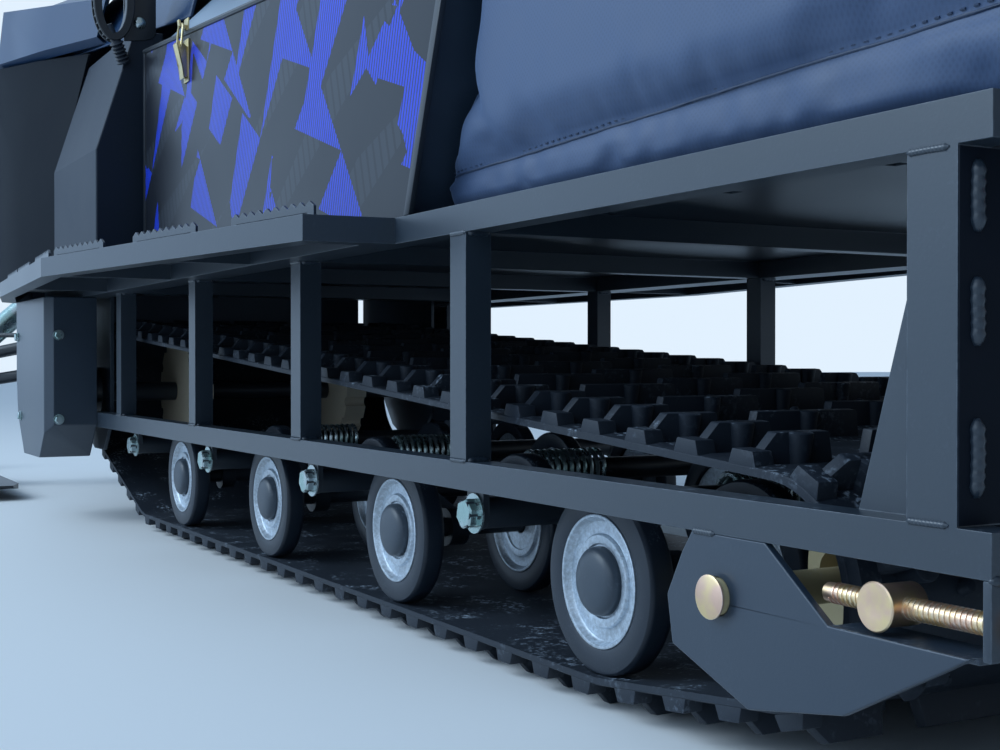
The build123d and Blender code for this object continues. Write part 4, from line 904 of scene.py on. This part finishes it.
class SNOWMOBILE_OT_track(bpy.types.Operator):
    """Builds the track: its belt with cross ribs, and the rows of paddle plates with their pads and studs."""

    bl_idname = "snowmobile.track"
    bl_label = "Track"

    def execute(self, context):
        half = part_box("track")[1].y
        outer = loop_runs(BELT)
        pitch = sum(run for run, _ in outer) / LUG_ROWS
        rows = []
        for kind in (0, 1):
            flat = bmesh.new()
            draw_row(flat, kind, half)
            flat.verts.index_update()
            points = [vert.co.copy() for vert in flat.verts]
            rows.append((points, [[vert.index for vert in face.verts] for face in flat.faces]))
            flat.free()

        def plates(shape):
            for row in range(LUG_ROWS):
                x, z, angle = loop_point(outer, (row + 0.5) * pitch)
                out = Vector((math.cos(angle), 0, math.sin(angle)))
                along = Vector((-math.sin(angle), 0, math.cos(angle)))
                points, faces = rows[row % 2]
                made = [shape.verts.new(Vector((x, p.y, z)) + along * p.x + out * p.z) for p in points]
                for face in faces:
                    shape.faces.new([made[number] for number in face])

        def belt(shape):
            per_row = 8
            rings = []
            for step in range(LUG_ROWS * per_row):
                x, z, angle = loop_point(outer, (step + per_row // 2) * pitch / per_row)
                out = Vector((math.cos(angle), 0, math.sin(angle)))
                raised = 0.0016 if step % 4 == 2 else 0.0
                edge = ((half, -BELT), (half, -0.001), (half - 0.001, 0.0), (half - 0.012, raised))
                section = [(-y, height) for y, height in edge] + list(reversed(edge))
                rings.append([shape.verts.new(Vector((x, y, z)) + out * height) for y, height in section])
            rings.append(rings[0])
            join_rings(shape, rings)

        piece("Track_belt", "track", belt, instead_of=("track",))
        piece("Track_plates", "track", plates, angle=40.0)
        return {"FINISHED"}


class SNOWMOBILE_OT_springs(bpy.types.Operator):
    """Builds the coil springs round the pivot shafts."""

    bl_idname = "snowmobile.springs"
    bl_label = "Coil springs"

    def execute(self, context):
        low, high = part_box("suspension_springs")
        stations, radius = along_frame("suspension_springs")
        z = middle("suspension_springs")[2]
        wire = 0.0032
        reach = radius - wire
        turns = 11
        per_turn = 20

        def coils(shape):
            for x in stations:
                centre = Vector((x, 0, z))
                points = []
                for step in range(turns * per_turn + 1):
                    angle = math.tau * step / per_turn
                    y = low.y + wire + (high.y - low.y - 2 * wire) * step / (turns * per_turn)
                    points.append(centre + Vector((reach * math.cos(angle), y, reach * math.sin(angle))))
                tube(shape, points, wire, 7)

        piece("Coil_springs", "bright zinc", coils, instead_of=("suspension_springs",))
        return {"FINISHED"}


# Small fasteners, welds and trim

class SNOWMOBILE_OT_fasteners(bpy.types.Operator):
    """Builds the chain tensioners, the drive shaft's sleeves, and the bolts of pivots, guards and axle."""

    bl_idname = "snowmobile.fasteners"
    bl_label = "Fasteners"

    def execute(self, context):
        outer = frame_levels()[0]
        self.build_tensioners(outer)
        drum_x, _, drum_z = middle("drive_sprockets")
        idler_x, _, idler_z = middle("rear_idlers")
        pivots = along_frame("suspension_springs")[0]
        pivot_z = middle("suspension_springs")[2]
        guard_low, guard_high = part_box("front_guards")

        def sleeves(shape):
            for start, end in ((0.0, 0.1285), (0.1715, 0.330)):
                wall = ((0.0161, start), (0.0170, start), (0.0170, end), (0.0161, end))
                turned(shape, wall, (drum_x, 0, drum_z), LEFT, 28)

        def bolts(shape):
            for x in pivots:
                hex_bolt(shape, (x, outer - 0.0138, pivot_z), LEFT, across_flats=0.0236, height=0.0122)
            for z in (0.325, 0.180):
                hex_bolt(shape, (guard_low.x, 0.405, z), BEHIND, across_flats=0.012, height=0.006)
            for x, z in ((0.588, 0.325), (0.560, 0.180)):
                hex_bolt(shape, (x, guard_high.y, z), LEFT, across_flats=0.012, height=0.006)

        def pins(shape):
            head = ((0.0145, 0.0), (0.0145, 0.0012), (0.0125, 0.0020), (0.0, 0.0022))
            turned(shape, head, (idler_x, outer + 0.0055, idler_z), LEFT, 32)

        piece("Shaft_sleeves", "dark steel", mirrored(sleeves))
        piece("Bright_bolts", "bright zinc", mirrored(bolts), angle=28.0)
        piece("Yellow_pins", "yellow zinc", mirrored(pins), angle=28.0)
        return {"FINISHED"}

    def build_tensioners(self, outer):
        """A threaded rod with its nut and its pressed eye, and the plate that it pulls on."""
        low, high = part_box("tensioners")
        line = outer - 0.018
        rod_z = 0.140
        core = ((0.0, 0.0), (0.0050, 0.0), (0.0060, 0.0010), (0.0060, 0.1490), (0.0050, 0.1500),
                (0.0, 0.1500))
        eye = ((0.0, 0.0), (0.0112, 0.0), (0.0125, 0.0012), (0.0125, 0.0280), (0.0138, 0.0284),
               (0.0144, 0.0290), (0.0144, 0.0300), (0.0136, 0.0308), (0.0050, 0.0309), (0.0, 0.0302))
        nut = ((0.0, 0.0), (0.0092, 0.0), (0.0113, 0.0014), (0.0113, 0.0086), (0.0100, 0.0098),
               (0.0, 0.0098))
        thread_radius = 0.0061
        per_turn = 16
        steps = per_turn * 34

        def rods(shape):
            turned(shape, core, (low.x, line, rod_z), AHEAD, 20)
            thread = []
            for step in range(steps):
                angle = math.tau * step / per_turn
                x = low.x + 0.016 + 0.128 * step / steps
                y = line + thread_radius * math.cos(angle)
                thread.append((x, y, rod_z + thread_radius * math.sin(angle)))
            tube(shape, thread, 0.0007, 4)
            turned(shape, eye, (low.x + 0.096, high.y - 0.0335, rod_z), LEFT, 36)
            turned(shape, nut, (low.x + 0.0001, line, rod_z), AHEAD, 6)

        def plates(shape):
            block(shape, (low.x + 0.010, outer - 0.036, 0.124), (low.x + 0.016, outer, 0.166), 0.0012)

        piece("Tensioner_rods", "yellow zinc", mirrored(rods), angle=28.0, instead_of=("tensioners",))
        piece("Tensioner_plates", "frame", mirrored(plates), instead_of=("tensioners",))


class SNOWMOBILE_OT_welds(bpy.types.Operator):
    """Lays weld beads on the posts, plates, cheeks and rails, and lays a thin near-black sheet of painted
    shade over the rear corner plates.
    """

    bl_idname = "snowmobile.welds"
    bl_label = "Welds"

    def execute(self, context):
        outer, rail_top, deck_low = frame_levels()
        inner = outer - RAIL
        noise.seed_set(WELD_SEED)

        def beads(shape):
            for front in POST_FRONTS:
                rear = front - POST_LEN
                for z in (rail_top + 0.0006, deck_low - 0.0006):
                    weld(shape, (rear, outer - 0.0002, z), (front, outer - 0.0002, z), radius=0.0020)
                    for x in (rear + 0.0004, front):
                        weld(shape, (x, outer - 0.002, z), (x, inner + 0.002, z), radius=0.0034)
            x, y = PLATE_X - 0.0070, outer - 0.013
            for low, high in ((0.206, 0.248), (0.286, 0.322), (0.346, 0.384)):
                weld(shape, (x, y, low), (x, y, high), radius=0.0044)
            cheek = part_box("idler_cheeks")[1]
            y = cheek.y - 0.0005
            weld(shape, (cheek.x - 0.028, y, cheek.z), (cheek.x - 0.052, y, cheek.z), radius=0.0022)
            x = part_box("tensioners")[0].x + 0.010 + 0.001
            z = rail_top - RAIL
            weld(shape, (x, outer + 0.0002, z), (x, outer - 0.03, z), radius=0.0030)

        # A thin near-black sheet on the rear face of each corner plate: painted shade.
        def facing(shape):
            low = (PLATE_X - 0.0068, 0.1935, rail_top + 0.0010)
            high = (PLATE_X - 0.0060, outer - 0.0004, deck_low - 0.0010)
            block(shape, low, high, 0.0002)

        piece("Welds", "weld", mirrored(beads), angle=60.0)
        piece("Corner_plate_shade_sheets", "corner", mirrored(facing))
        return {"FINISHED"}


# Body details

class SNOWMOBILE_OT_body(bpy.types.Operator):
    """Builds the panels' trim and latches, the intakes, and the sides of the nose and the hood."""

    bl_idname = "snowmobile.body"
    bl_label = "Body details"

    def execute(self, context):
        self.build_trims()
        self.build_latches()
        self.build_intakes()
        self.build_flanks()
        return {"FINISHED"}

    def build_trims(self):
        """Edge trim of the side panels along their top, rear and front."""
        low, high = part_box("side_panels")
        face = high.y
        rear_top = 0.675
        top = ((high.x, high.z), (-0.550, 0.710), (low.x, rear_top))
        rear = ((-0.945, low.z), (-0.933, low.z), (-1.029, rear_top), (-1.041, rear_top))
        front = ((high.x - 0.006, low.z), (high.x + 0.004, low.z), (high.x + 0.004, high.z),
                 (high.x - 0.006, high.z))

        def trims(shape):
            for (xa, za), (xb, zb) in zip(top, top[1:]):
                tube(shape, ((xa, face - 0.001, za + 0.002), (xb, face - 0.001, zb + 0.002)), 0.0042, 8)
            prism(shape, rear, (0, face + 0.0022, 0), AHEAD, UP, 0.006, 0.0010)
            prism(shape, front, (0, face + 0.0012, 0), AHEAD, UP, 0.004, 0.0008)

        piece("Panel_trims", "plastic", mirrored(trims))

    def build_latches(self):
        """A toggle latch on each side panel: base plates, lever with its pin, wire loop and hook."""
        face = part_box("side_panels")[1].y
        x = middle("latches")[0]
        lever = ((0.0022, 0.676), (0.0085, 0.672), (0.0100, 0.690), (0.0180, 0.720), (0.0150, 0.7245),
                 (0.0022, 0.716))
        web = ((0.0085, 0.672), (0.0100, 0.690), (0.0180, 0.720), (0.0166, 0.7205), (0.0086, 0.6905),
               (0.0072, 0.6735))
        hook = ((0.0, 0.741), (0.0055, 0.741), (0.0070, 0.744), (0.0125, 0.745), (0.0135, 0.754),
                (0.0115, 0.754), (0.0105, 0.7475), (0.0, 0.747))
        bends = ((-0.0115, 0.012, 0.716), (-0.0115, 0.0095, 0.742), (-0.0095, 0.0090, 0.7465),
                 (-0.005, 0.0090, 0.748), (0.005, 0.0090, 0.748), (0.0095, 0.0090, 0.7465),
                 (0.0115, 0.0095, 0.742), (0.0115, 0.012, 0.716))
        wire = [(x + across, face + out, z) for across, out, z in bends]

        def latch(shape):
            block(shape, (x - 0.011, face, 0.668), (x + 0.011, face + 0.0022, 0.728), 0.0006)
            for shift in (-0.0095, 0.0075):
                prism(shape, lever, (x + shift, face, 0), LEFT, UP, 0.0020, 0.0005)
            prism(shape, web, (x - 0.0095, face, 0), LEFT, UP, 0.0190, 0.0004)
            tube(shape, ((x - 0.0125, face + 0.012, 0.7165), (x + 0.0125, face + 0.012, 0.7165)), 0.0022, 12)
            tube(shape, wire, 0.0016, 8)
            block(shape, (x - 0.010, face, 0.737), (x + 0.010, face + 0.0020, 0.757), 0.0006)
            prism(shape, hook, (x - 0.0045, face, 0), LEFT, UP, 0.0090, 0.0005)
            for z in (0.6735, 0.7075):
                dome_bolt(shape, (x, face + 0.0022, z), LEFT, 0.0026)

        piece("Toggle_latches", "brass zinc", mirrored(latch), instead_of=("latches",))

    def build_intakes(self):
        """An oval ribbed ring with its bracket on each column, the boot below it and a round bolt."""
        ring_low, ring_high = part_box("intake_rings")
        plane_x = ring_low.x - 0.006
        outline = ((0.0100, 0.0), (0.0115, -0.0015), (0.0115, -0.0040), (0.0080, -0.0045),
                   (0.0075, -0.0150), (0.0115, -0.0160), (0.0115, -0.0185), (0.0100, -0.0200),
                   (0.0, -0.0200), (-0.0010, -0.0190), (-0.0010, -0.0010), (0.0, 0.0))
        bracket = ((0.312, 0.880), (0.312, 0.792), (0.318, 0.784), (0.330, 0.780), (0.362, 0.776),
                   (0.362, 0.880))

        def on_oval(angle):
            """A place on the oval and the way out from it."""
            centre = Vector((plane_x, 0.380 + 0.020 * math.cos(angle), 0.832 + 0.049 * math.sin(angle)))
            return centre, Vector((0, math.cos(angle), math.sin(angle)))

        def rings(shape):
            sides = 64
            made = []
            for step in range(sides + 1):
                centre, out = on_oval(math.tau * step / sides)
                ring = [centre + out * reach + Vector((depth + 0.020, 0, 0)) for reach, depth in outline]
                made.append([shape.verts.new(point) for point in ring])
            join_rings(shape, made)
            for angle in angles(30):
                centre, out = on_oval(angle)
                foot = centre + out * 0.0095
                tube(shape, (foot + Vector((0.003, 0, 0)), foot + Vector((0.018, 0, 0))), 0.0016, 6)
            prism(shape, bracket, (ring_high.x + 0.002, 0, 0), LEFT, UP, -0.004, 0.0008)

        def boot(shape):
            profile = [(0.0, 0.0), (0.0105, 0.0)]
            for ripple in range(6):
                profile += [(0.0110, 0.002 + 0.0058 * ripple), (0.0080, 0.0048 + 0.0058 * ripple)]
            profile += [(0.0060, 0.038), (0.0045, 0.062), (0.0, 0.062)]
            turned(shape, profile, (0.046, 0.362, 0.742), (-0.25, 0.42, 0.87), 20)

        def domes(shape):
            dome_bolt(shape, (ring_high.x - 0.003, 0.338, 0.806), BEHIND, 0.0095)

        piece("Intake_rings", "plastic", mirrored(rings), instead_of=("intake_rings",))
        piece("Intake_boots", "grip", mirrored(boot), angle=60.0)
        piece("Dome_bolts", "bright zinc", mirrored(domes))

    def build_flanks(self):
        """Side sheets of the nose ahead of the columns, near black with painted shade, and the hood's bulged
        sides above them.
        """
        low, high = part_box("columns")
        wide_x = 0.680
        rear = ((0.404, low.z), (0.404, 0.606), (0.372, 0.706), (0.345, 0.820))
        wide = ((0.446, low.z), (0.446, 0.640), (0.446, 0.745), (0.444, 0.840))
        nose = ((0.362, 0.470), (0.362, 0.560), (0.362, 0.590), (0.360, 0.612))
        end = ((0.286, 0.480), (0.286, 0.540), (0.286, 0.570), (0.286, 0.585))
        half_way = [((ya + yb) / 2 + 0.008, (za + zb) / 2) for (ya, za), (yb, zb) in zip(rear, wide)]
        half_x = (high.x + wide_x) / 2
        flanks = ((high.x, rear), (half_x, half_way), (wide_x, wide), (0.975, nose), (1.015, end))
        sides = (
            (0.300, ((0.334, 0.826), (0.346, 0.836), (0.330, 0.905), (0.236, 1.000))),
            (0.480, ((0.384, 0.832), (0.400, 0.842), (0.384, 0.925), (0.238, 0.998))),
            (0.680, ((0.420, 0.838), (0.447, 0.848), (0.436, 0.950), (0.236, 1.004))),
            (0.975, ((0.330, 0.622), (0.370, 0.630), (0.364, 0.760), (0.206, 0.890))),
            (1.150, ((0.270, 0.548), (0.294, 0.554), (0.270, 0.660), (0.178, 0.784))),
        )
        piece("Nose_flanks", "flank", mirrored(sheet(flanks)))
        piece("Hood_sides", "hood", mirrored(sheet(sides)), body="hood")


# Controls and lamps

class SNOWMOBILE_OT_controls(bpy.types.Operator):
    """Builds the levers, the ribs of the grips, the instrument and the inside of the lamps."""

    bl_idname = "snowmobile.controls"
    bl_label = "Controls and lamps"

    def execute(self, context):
        self.build_levers()
        dash_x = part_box("dashboard")[0].x + 0.010
        lamp_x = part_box("headlamp")[0].x
        lamp_z = middle("headlamp")[2]
        case = ((-0.075, 0.925), (0.075, 0.925), (0.085, 0.935), (0.080, 0.980), (-0.080, 0.980),
                (-0.085, 0.935))
        knob = ((0.0, 0.0), (0.013, 0.0), (0.013, 0.010), (0.011, 0.013), (0.0, 0.013))
        bowl = ((0.0, 0.0), (0.010, 0.0008), (0.024, 0.0050), (0.036, 0.0130), (0.0395, 0.0200),
                (0.0405, 0.0200), (0.0405, 0.0100), (0.0250, -0.0002), (0.0, -0.0002))
        bulb = ((0.0, 0.0), (0.0060, 0.0), (0.0060, 0.0060), (0.0040, 0.0090), (0.0, 0.0100))

        def instrument(shape):
            prism(shape, case, (dash_x - 0.014, 0, 0), LEFT, UP, -0.018, 0.003)
            turned(shape, knob, (dash_x - 0.004, 0.125, 0.930), BEHIND, 24)

        def bowls(shape):
            for y in (-0.058, 0.058):
                turned(shape, bowl, (lamp_x + 0.0030, y, lamp_z), AHEAD, 40)
                turned(shape, bulb, (lamp_x + 0.0034, y, lamp_z), AHEAD, 20)

        piece("Instrument", "plastic", instrument)
        piece("Headlamp_bowls", "bright zinc", bowls, body="hood")
        return {"FINISHED"}

    def build_levers(self):
        """A lever on its perch at each grip, and the grip's ribs and flange."""
        bend = Vector((-0.219, 0.090, 1.078))
        tip = Vector((-0.282, 0.385, 1.098))
        inward = (bend - tip).normalized()
        ahead = Vector((0.97, 0.20, -0.10)).normalized()
        clamp = ((0.0112, -0.012), (0.0165, -0.012), (0.0175, -0.010), (0.0175, 0.010), (0.0165, 0.012),
                 (0.0112, 0.012))
        boss = ((0.0, -0.009), (0.0075, -0.009), (0.0085, -0.007), (0.0085, 0.007), (0.0075, 0.009),
                (0.0, 0.009))
        rib = ((0.0166, -0.0016), (0.0178, -0.0010), (0.0178, 0.0010), (0.0166, 0.0016))
        flange = ((0.0168, 0.118), (0.0215, 0.1185), (0.0220, 0.1205), (0.0215, 0.1225), (0.0168, 0.123))

        def levers(shape):
            perch = tip + inward * 0.160
            turned(shape, clamp, perch, inward, 24)
            pivot = perch + ahead * 0.034
            tube(shape, (perch + ahead * 0.012, pivot), (0.0075, 0.0060), 12)
            turned(shape, boss, pivot, UP, 20)
            blade = [pivot]
            for inside, forward in ((0.030, 0.010), (0.080, 0.016), (0.120, 0.012), (0.135, 0.006)):
                blade.append(pivot - inward * inside + ahead * forward)
            tube(shape, blade, (0.0060, 0.0052, 0.0045, 0.0042, 0.0050), 10)

        def ribs(shape):
            for number in range(16):
                turned(shape, rib, tip + inward * (0.010 + 0.0068 * number), inward, 24)
            turned(shape, flange, tip, inward, 28)

        piece("Levers", "dark steel", mirrored(levers), body="steering", angle=40.0)
        piece("Grip_ribs", "grip", mirrored(ribs), body="steering", angle=40.0)


# Padded pieces

def bake(made):
    """Applies the modifiers of a piece."""
    graph = bpy.context.evaluated_depsgraph_get()
    graph.update()
    mesh = bpy.data.meshes.new_from_object(made.evaluated_get(graph))
    old = made.data
    made.modifiers.clear()
    made.data = mesh
    bpy.data.meshes.remove(old)


def inflate(made, settings, pinned, pressure, spare):
    """Fills a closed mesh as a padded cover: cloth under pressure, and a cap on how far it moves."""
    remesh = made.modifiers.new("Voxels", "REMESH")
    remesh.mode = "VOXEL"
    remesh.voxel_size = settings.voxel
    bake(made)
    rest = [vert.co.copy() for vert in made.data.vertices]
    group = made.vertex_groups.new(name="Held")
    group.add([number for number, place in enumerate(rest) if pinned(place)], 1.0, "REPLACE")
    cover = made.modifiers.new("Cover", "CLOTH")
    cloth = cover.settings
    cloth.quality = 4
    cloth.mass = 0.25
    cloth.tension_stiffness = 12.0
    cloth.compression_stiffness = 12.0
    cloth.shear_stiffness = 4.0
    cloth.bending_stiffness = 0.4
    cloth.use_pressure = True
    cloth.uniform_pressure_force = pressure
    cloth.shrink_min = spare
    cloth.shrink_max = spare
    cloth.vertex_group_mass = "Held"
    cloth.effector_weights.gravity = 0.0
    cover.collision_settings.use_collision = False
    for frame_number in range(1, 21):
        bpy.context.scene.frame_set(frame_number)
    bake(made)
    bpy.context.scene.frame_set(1)
    for vert, start in zip(made.data.vertices, rest):
        moved = vert.co - start
        if moved.length > settings.swell:
            vert.co = start + moved.normalized() * settings.swell
    smooth = made.modifiers.new("Smooth", "SUBSURF")
    smooth.levels = smooth.render_levels = 1
    bake(made)
    shade_smooth(made.data)


def rounded_outline(corners, steps=6):
    """An outline of (X, Z) points with its corners, each given with a radius, rounded."""
    outline = []
    for number, (corner, radius) in enumerate(corners):
        corner = Vector(corner)
        before = Vector(corners[number - 1][0]) - corner
        after = Vector(corners[(number + 1) % len(corners)][0]) - corner
        start = corner + before.normalized() * radius
        end = corner + after.normalized() * radius
        for step in range(steps):
            share = step / (steps - 1)
            bend = corner * 2 * share * (1 - share)
            outline.append(tuple(start * (1 - share) ** 2 + bend + end * share ** 2))
    return outline


class SNOWMOBILE_OT_seat(bpy.types.Operator):
    """Builds the seat and the backrest by filling their covers, and the seat's stitched seam."""

    bl_idname = "snowmobile.seat"
    bl_label = "Seat and backrest"

    def execute(self, context):
        settings = context.scene.snowmobile_seat
        self.build_bench(settings)
        self.build_backrest(settings)
        return {"FINISHED"}

    def build_bench(self, settings):
        """The bench's padded cover, drawn in along its seam and held inside the cushion's leaning front."""
        low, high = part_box("seat_cushion")
        foot = low.z
        lean = 0.40
        front_slope = 0.371
        side = high.y - 0.001
        top = high.z - 0.006
        rear = low.x + 0.004
        front = high.x + settings.front_reach
        seam_front, seam_rear = foot + 0.036, foot + 0.056
        seam_reach, seam_depth = 0.010, 0.0035
        outline = rounded_outline((((rear, foot + 0.004), 0.020), ((front, foot + 0.004), 0.020),
                                   ((front - lean * (top - foot), top), 0.050), ((rear, top), 0.050)))

        def seam_height(x):
            return seam_front + (seam_rear - seam_front) * (front - x) / (front - low.x)

        def body(shape):
            prism(shape, outline, (0, side, 0), AHEAD, UP, 2 * side, 0.012)

        def pinned(place):
            on_side = abs(place.y) > side - 0.010
            on_seam = on_side and abs(place.z - seam_height(place.x)) < settings.voxel * 0.55
            return place.z < foot + 0.010 or on_seam

        seat = drawn("Bench_cover", "seat", body)
        inflate(seat, settings, pinned, pressure=4.0, spare=-0.025)
        for vert in seat.data.vertices:
            gap = abs(vert.co.z - seam_height(vert.co.x))
            if abs(vert.co.y) > side - 0.02 and gap < seam_reach:
                vert.co.y -= math.copysign(seam_depth * (1.0 - gap / seam_reach), vert.co.y)
            vert.co.z = max(vert.co.z, foot + 0.0004)
            vert.co.x = min(vert.co.x, front - front_slope * max(vert.co.z - foot, 0.0))
        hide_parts("seat_cushion")
        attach(seat, "chassis")
        self.stitch(seat, settings, seam_height, front, low.x)

    def stitch(self, seat, settings, seam_height, front, rear):
        """A cord with small stitches that follows the seat's sides at the seam."""
        graph = bpy.context.evaluated_depsgraph_get()
        graph.update()
        paths = {1.0: [], -1.0: []}
        steps = 150
        for side, path in paths.items():
            for step in range(steps + 1):
                x = front - 0.020 - (front - rear - 0.030) * step / steps
                start = Vector((x, side * 0.5, seam_height(x)))
                hit, place, _, _ = seat.ray_cast(start, Vector((0, -side, 0)), depsgraph=graph)
                if hit:
                    path.append(place + Vector((0, side * 0.0002, 0)))

        def cords(shape):
            for side, path in paths.items():
                tube(shape, path, settings.thread * 0.5, 6)
                lift = Vector((0, side * 0.0008, 0.0034))
                for first, second in zip(path[::2], path[1::2]):
                    tube(shape, (first + lift, first.lerp(second, 0.75) + lift), 0.0008, 5)

        piece("Bench_seam", "thread", cords, angle=60.0)

    def build_backrest(self, settings):
        """The backrest's padded cover, held flat against its posts."""
        low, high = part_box("backrest_pad")

        def body(shape):
            near = (low.x + 0.004, low.y + 0.006, low.z + 0.006)
            block(shape, near, (high.x - 0.006, high.y - 0.006, high.z - 0.006), 0.020)

        pad = drawn("Backrest_cover", "seat", body)
        inflate(pad, settings, lambda place: place.x < low.x + 0.010, pressure=3.0, spare=-0.01)
        for vert in pad.data.vertices:
            vert.co.x = max(vert.co.x, low.x)
        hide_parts("backrest_pad")
        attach(pad, "chassis")


# Stage

SENSOR_WIDTH = 36.0
FLOOR_HALF = 30.0
LAMP_SIZE = 3.0
LAMP_TINT = (0.70, 0.86, 1.0)
LAMP_AIM = (-0.3, 0.0, 0.4)


class SNOWMOBILE_OT_studio(bpy.types.Operator):
    """Sets the camera, the pale floor and the soft light."""

    bl_idname = "snowmobile.studio"
    bl_label = "Studio"

    def execute(self, context):
        studio = context.scene.snowmobile_studio
        context.scene.view_settings.view_transform = "Standard"
        lens = bpy.data.cameras.new("Camera")
        lens.sensor_fit = "HORIZONTAL"
        lens.sensor_width = SENSOR_WIDTH
        lens.lens = studio.lens
        lens.clip_start = 0.02
        camera = bpy.data.objects.new("Camera", lens)
        camera.location = studio.eye
        camera.rotation_mode = "QUATERNION"
        camera.rotation_quaternion = Vector(studio.look).to_track_quat("-Z", "Y")
        context.collection.objects.link(camera)
        context.scene.camera = camera
        self.light_world(context, studio)
        self.lay_floor(context, studio)
        self.hang_lamp(context, "Key lamp", (1.6, 4.4, 3.4), 150.0)
        self.hang_lamp(context, "Fill lamp", (-2.8, 3.4, 2.6), 22.0)
        return {"FINISHED"}

    def light_world(self, context, studio):
        """A soft sky, bright ahead and to the left; the camera, glass and shiny pieces see a pale one."""
        world = bpy.data.worlds.new("Soft sky")
        world.use_nodes = True
        tree = world.node_tree
        path = add(tree, "ShaderNodeLightPath").outputs
        clear = maths(tree, "MAXIMUM", path["Is Camera Ray"], path["Is Transmission Ray"])
        seen = maths(tree, "MAXIMUM", clear, maths(tree, "MULTIPLY", path["Is Glossy Ray"], 0.3))
        direction = add(tree, "ShaderNodeTexCoord").outputs["Generated"]
        way = add(tree, "ShaderNodeSeparateXYZ", {0: direction}).outputs
        ahead = maths(tree, "MULTIPLY_ADD", way["X"], 0.75, studio.glow)
        left = maths(tree, "MULTIPLY_ADD", way["Y"], 1.00, ahead)
        strength = maths(tree, "MAXIMUM", maths(tree, "MULTIPLY_ADD", way["Z"], 0.30, left), 0.14)
        sky = add(tree, "ShaderNodeBackground", {"Color": rgba(studio.sky), "Strength": strength})
        pale = add(tree, "ShaderNodeBackground", {"Color": (0.76, 0.88, 1.0, 1.0), "Strength": 1.0})
        mixed = add(tree, "ShaderNodeMixShader", {0: seen, 1: sky.outputs[0], 2: pale.outputs[0]})
        tree.links.new(mixed.outputs[0], tree.nodes["World Output"].inputs[0])
        context.scene.world = world

    def lay_floor(self, context, studio):
        """A wide pale floor under the skis and the track."""
        mesh = bpy.data.meshes.new("Floor")
        half = FLOOR_HALF
        corners = [(-half, -half, 0.0), (half, -half, 0.0), (half, half, 0.0), (-half, half, 0.0)]
        mesh.from_pydata(corners, [], [(0, 1, 2, 3)])
        material, tree, bsdf = start_finish("Floor", Roughness=0.9, Specular_IOR_Level=0.1)
        tone = mix_colour(tree, grey_noise(tree, 0.6), rgba(Vector(studio.floor) * 0.98), rgba(studio.floor))
        tree.links.new(tone, bsdf.inputs["Base Color"])
        mesh.materials.append(material)
        floor = bpy.data.objects.new("Floor", mesh)
        context.collection.objects.link(floor)

    def hang_lamp(self, context, name, place, power):
        """One large soft lamp that looks at the middle of the snowmobile."""
        lamp = bpy.data.lights.new(name, "AREA")
        lamp.size = LAMP_SIZE
        lamp.energy = power
        lamp.color = LAMP_TINT
        made = bpy.data.objects.new(name, lamp)
        made.location = place
        made.rotation_mode = "QUATERNION"
        made.rotation_quaternion = (Vector(LAMP_AIM) - Vector(place)).to_track_quat("-Z", "Y")
        context.collection.objects.link(made)


class SNOWMOBILE_PT_pieces(bpy.types.Panel):
    """Lists the pieces in the sidebar."""

    bl_label = "Snowmobile"
    bl_idname = "SNOWMOBILE_PT_pieces"
    bl_space_type = "VIEW_3D"
    bl_region_type = "UI"
    bl_category = "Snowmobile"

    def draw(self, context):
        layout = self.layout
        for operator in OPERATORS:
            layout.operator(operator.bl_idname)
        for name in SETTINGS:
            group = getattr(context.scene, name)
            box = layout.box()
            for key in group.__annotations__:
                box.prop(group, key)


SETTINGS = {
    "snowmobile_finishes": SnowmobileFinishes,
    "snowmobile_seat": SnowmobileSeat,
    "snowmobile_studio": SnowmobileStudio,
}
OPERATORS = (
    SNOWMOBILE_OT_studio,
    SNOWMOBILE_OT_finishes,
    SNOWMOBILE_OT_wheels,
    SNOWMOBILE_OT_track,
    SNOWMOBILE_OT_springs,
    SNOWMOBILE_OT_fasteners,
    SNOWMOBILE_OT_welds,
    SNOWMOBILE_OT_body,
    SNOWMOBILE_OT_controls,
    SNOWMOBILE_OT_seat,
)


def register():
    """Registers the settings, the operators and the panel."""
    for name, group in SETTINGS.items():
        bpy.utils.register_class(group)
        setattr(bpy.types.Scene, name, bpy.props.PointerProperty(type=group))
    for operator in OPERATORS:
        bpy.utils.register_class(operator)
    bpy.utils.register_class(SNOWMOBILE_PT_pieces)


def unregister():
    """Takes them out again."""
    bpy.utils.unregister_class(SNOWMOBILE_PT_pieces)
    for operator in reversed(OPERATORS):
        bpy.utils.unregister_class(operator)
    for name, group in SETTINGS.items():
        delattr(bpy.types.Scene, name)
        bpy.utils.unregister_class(group)


def main():
    """Builds every piece in order."""
    register()
    for operator in OPERATORS:
        group, name = operator.bl_idname.split(".")
        getattr(getattr(bpy.ops, group), name)()


if __name__ == "__main__":
    main()
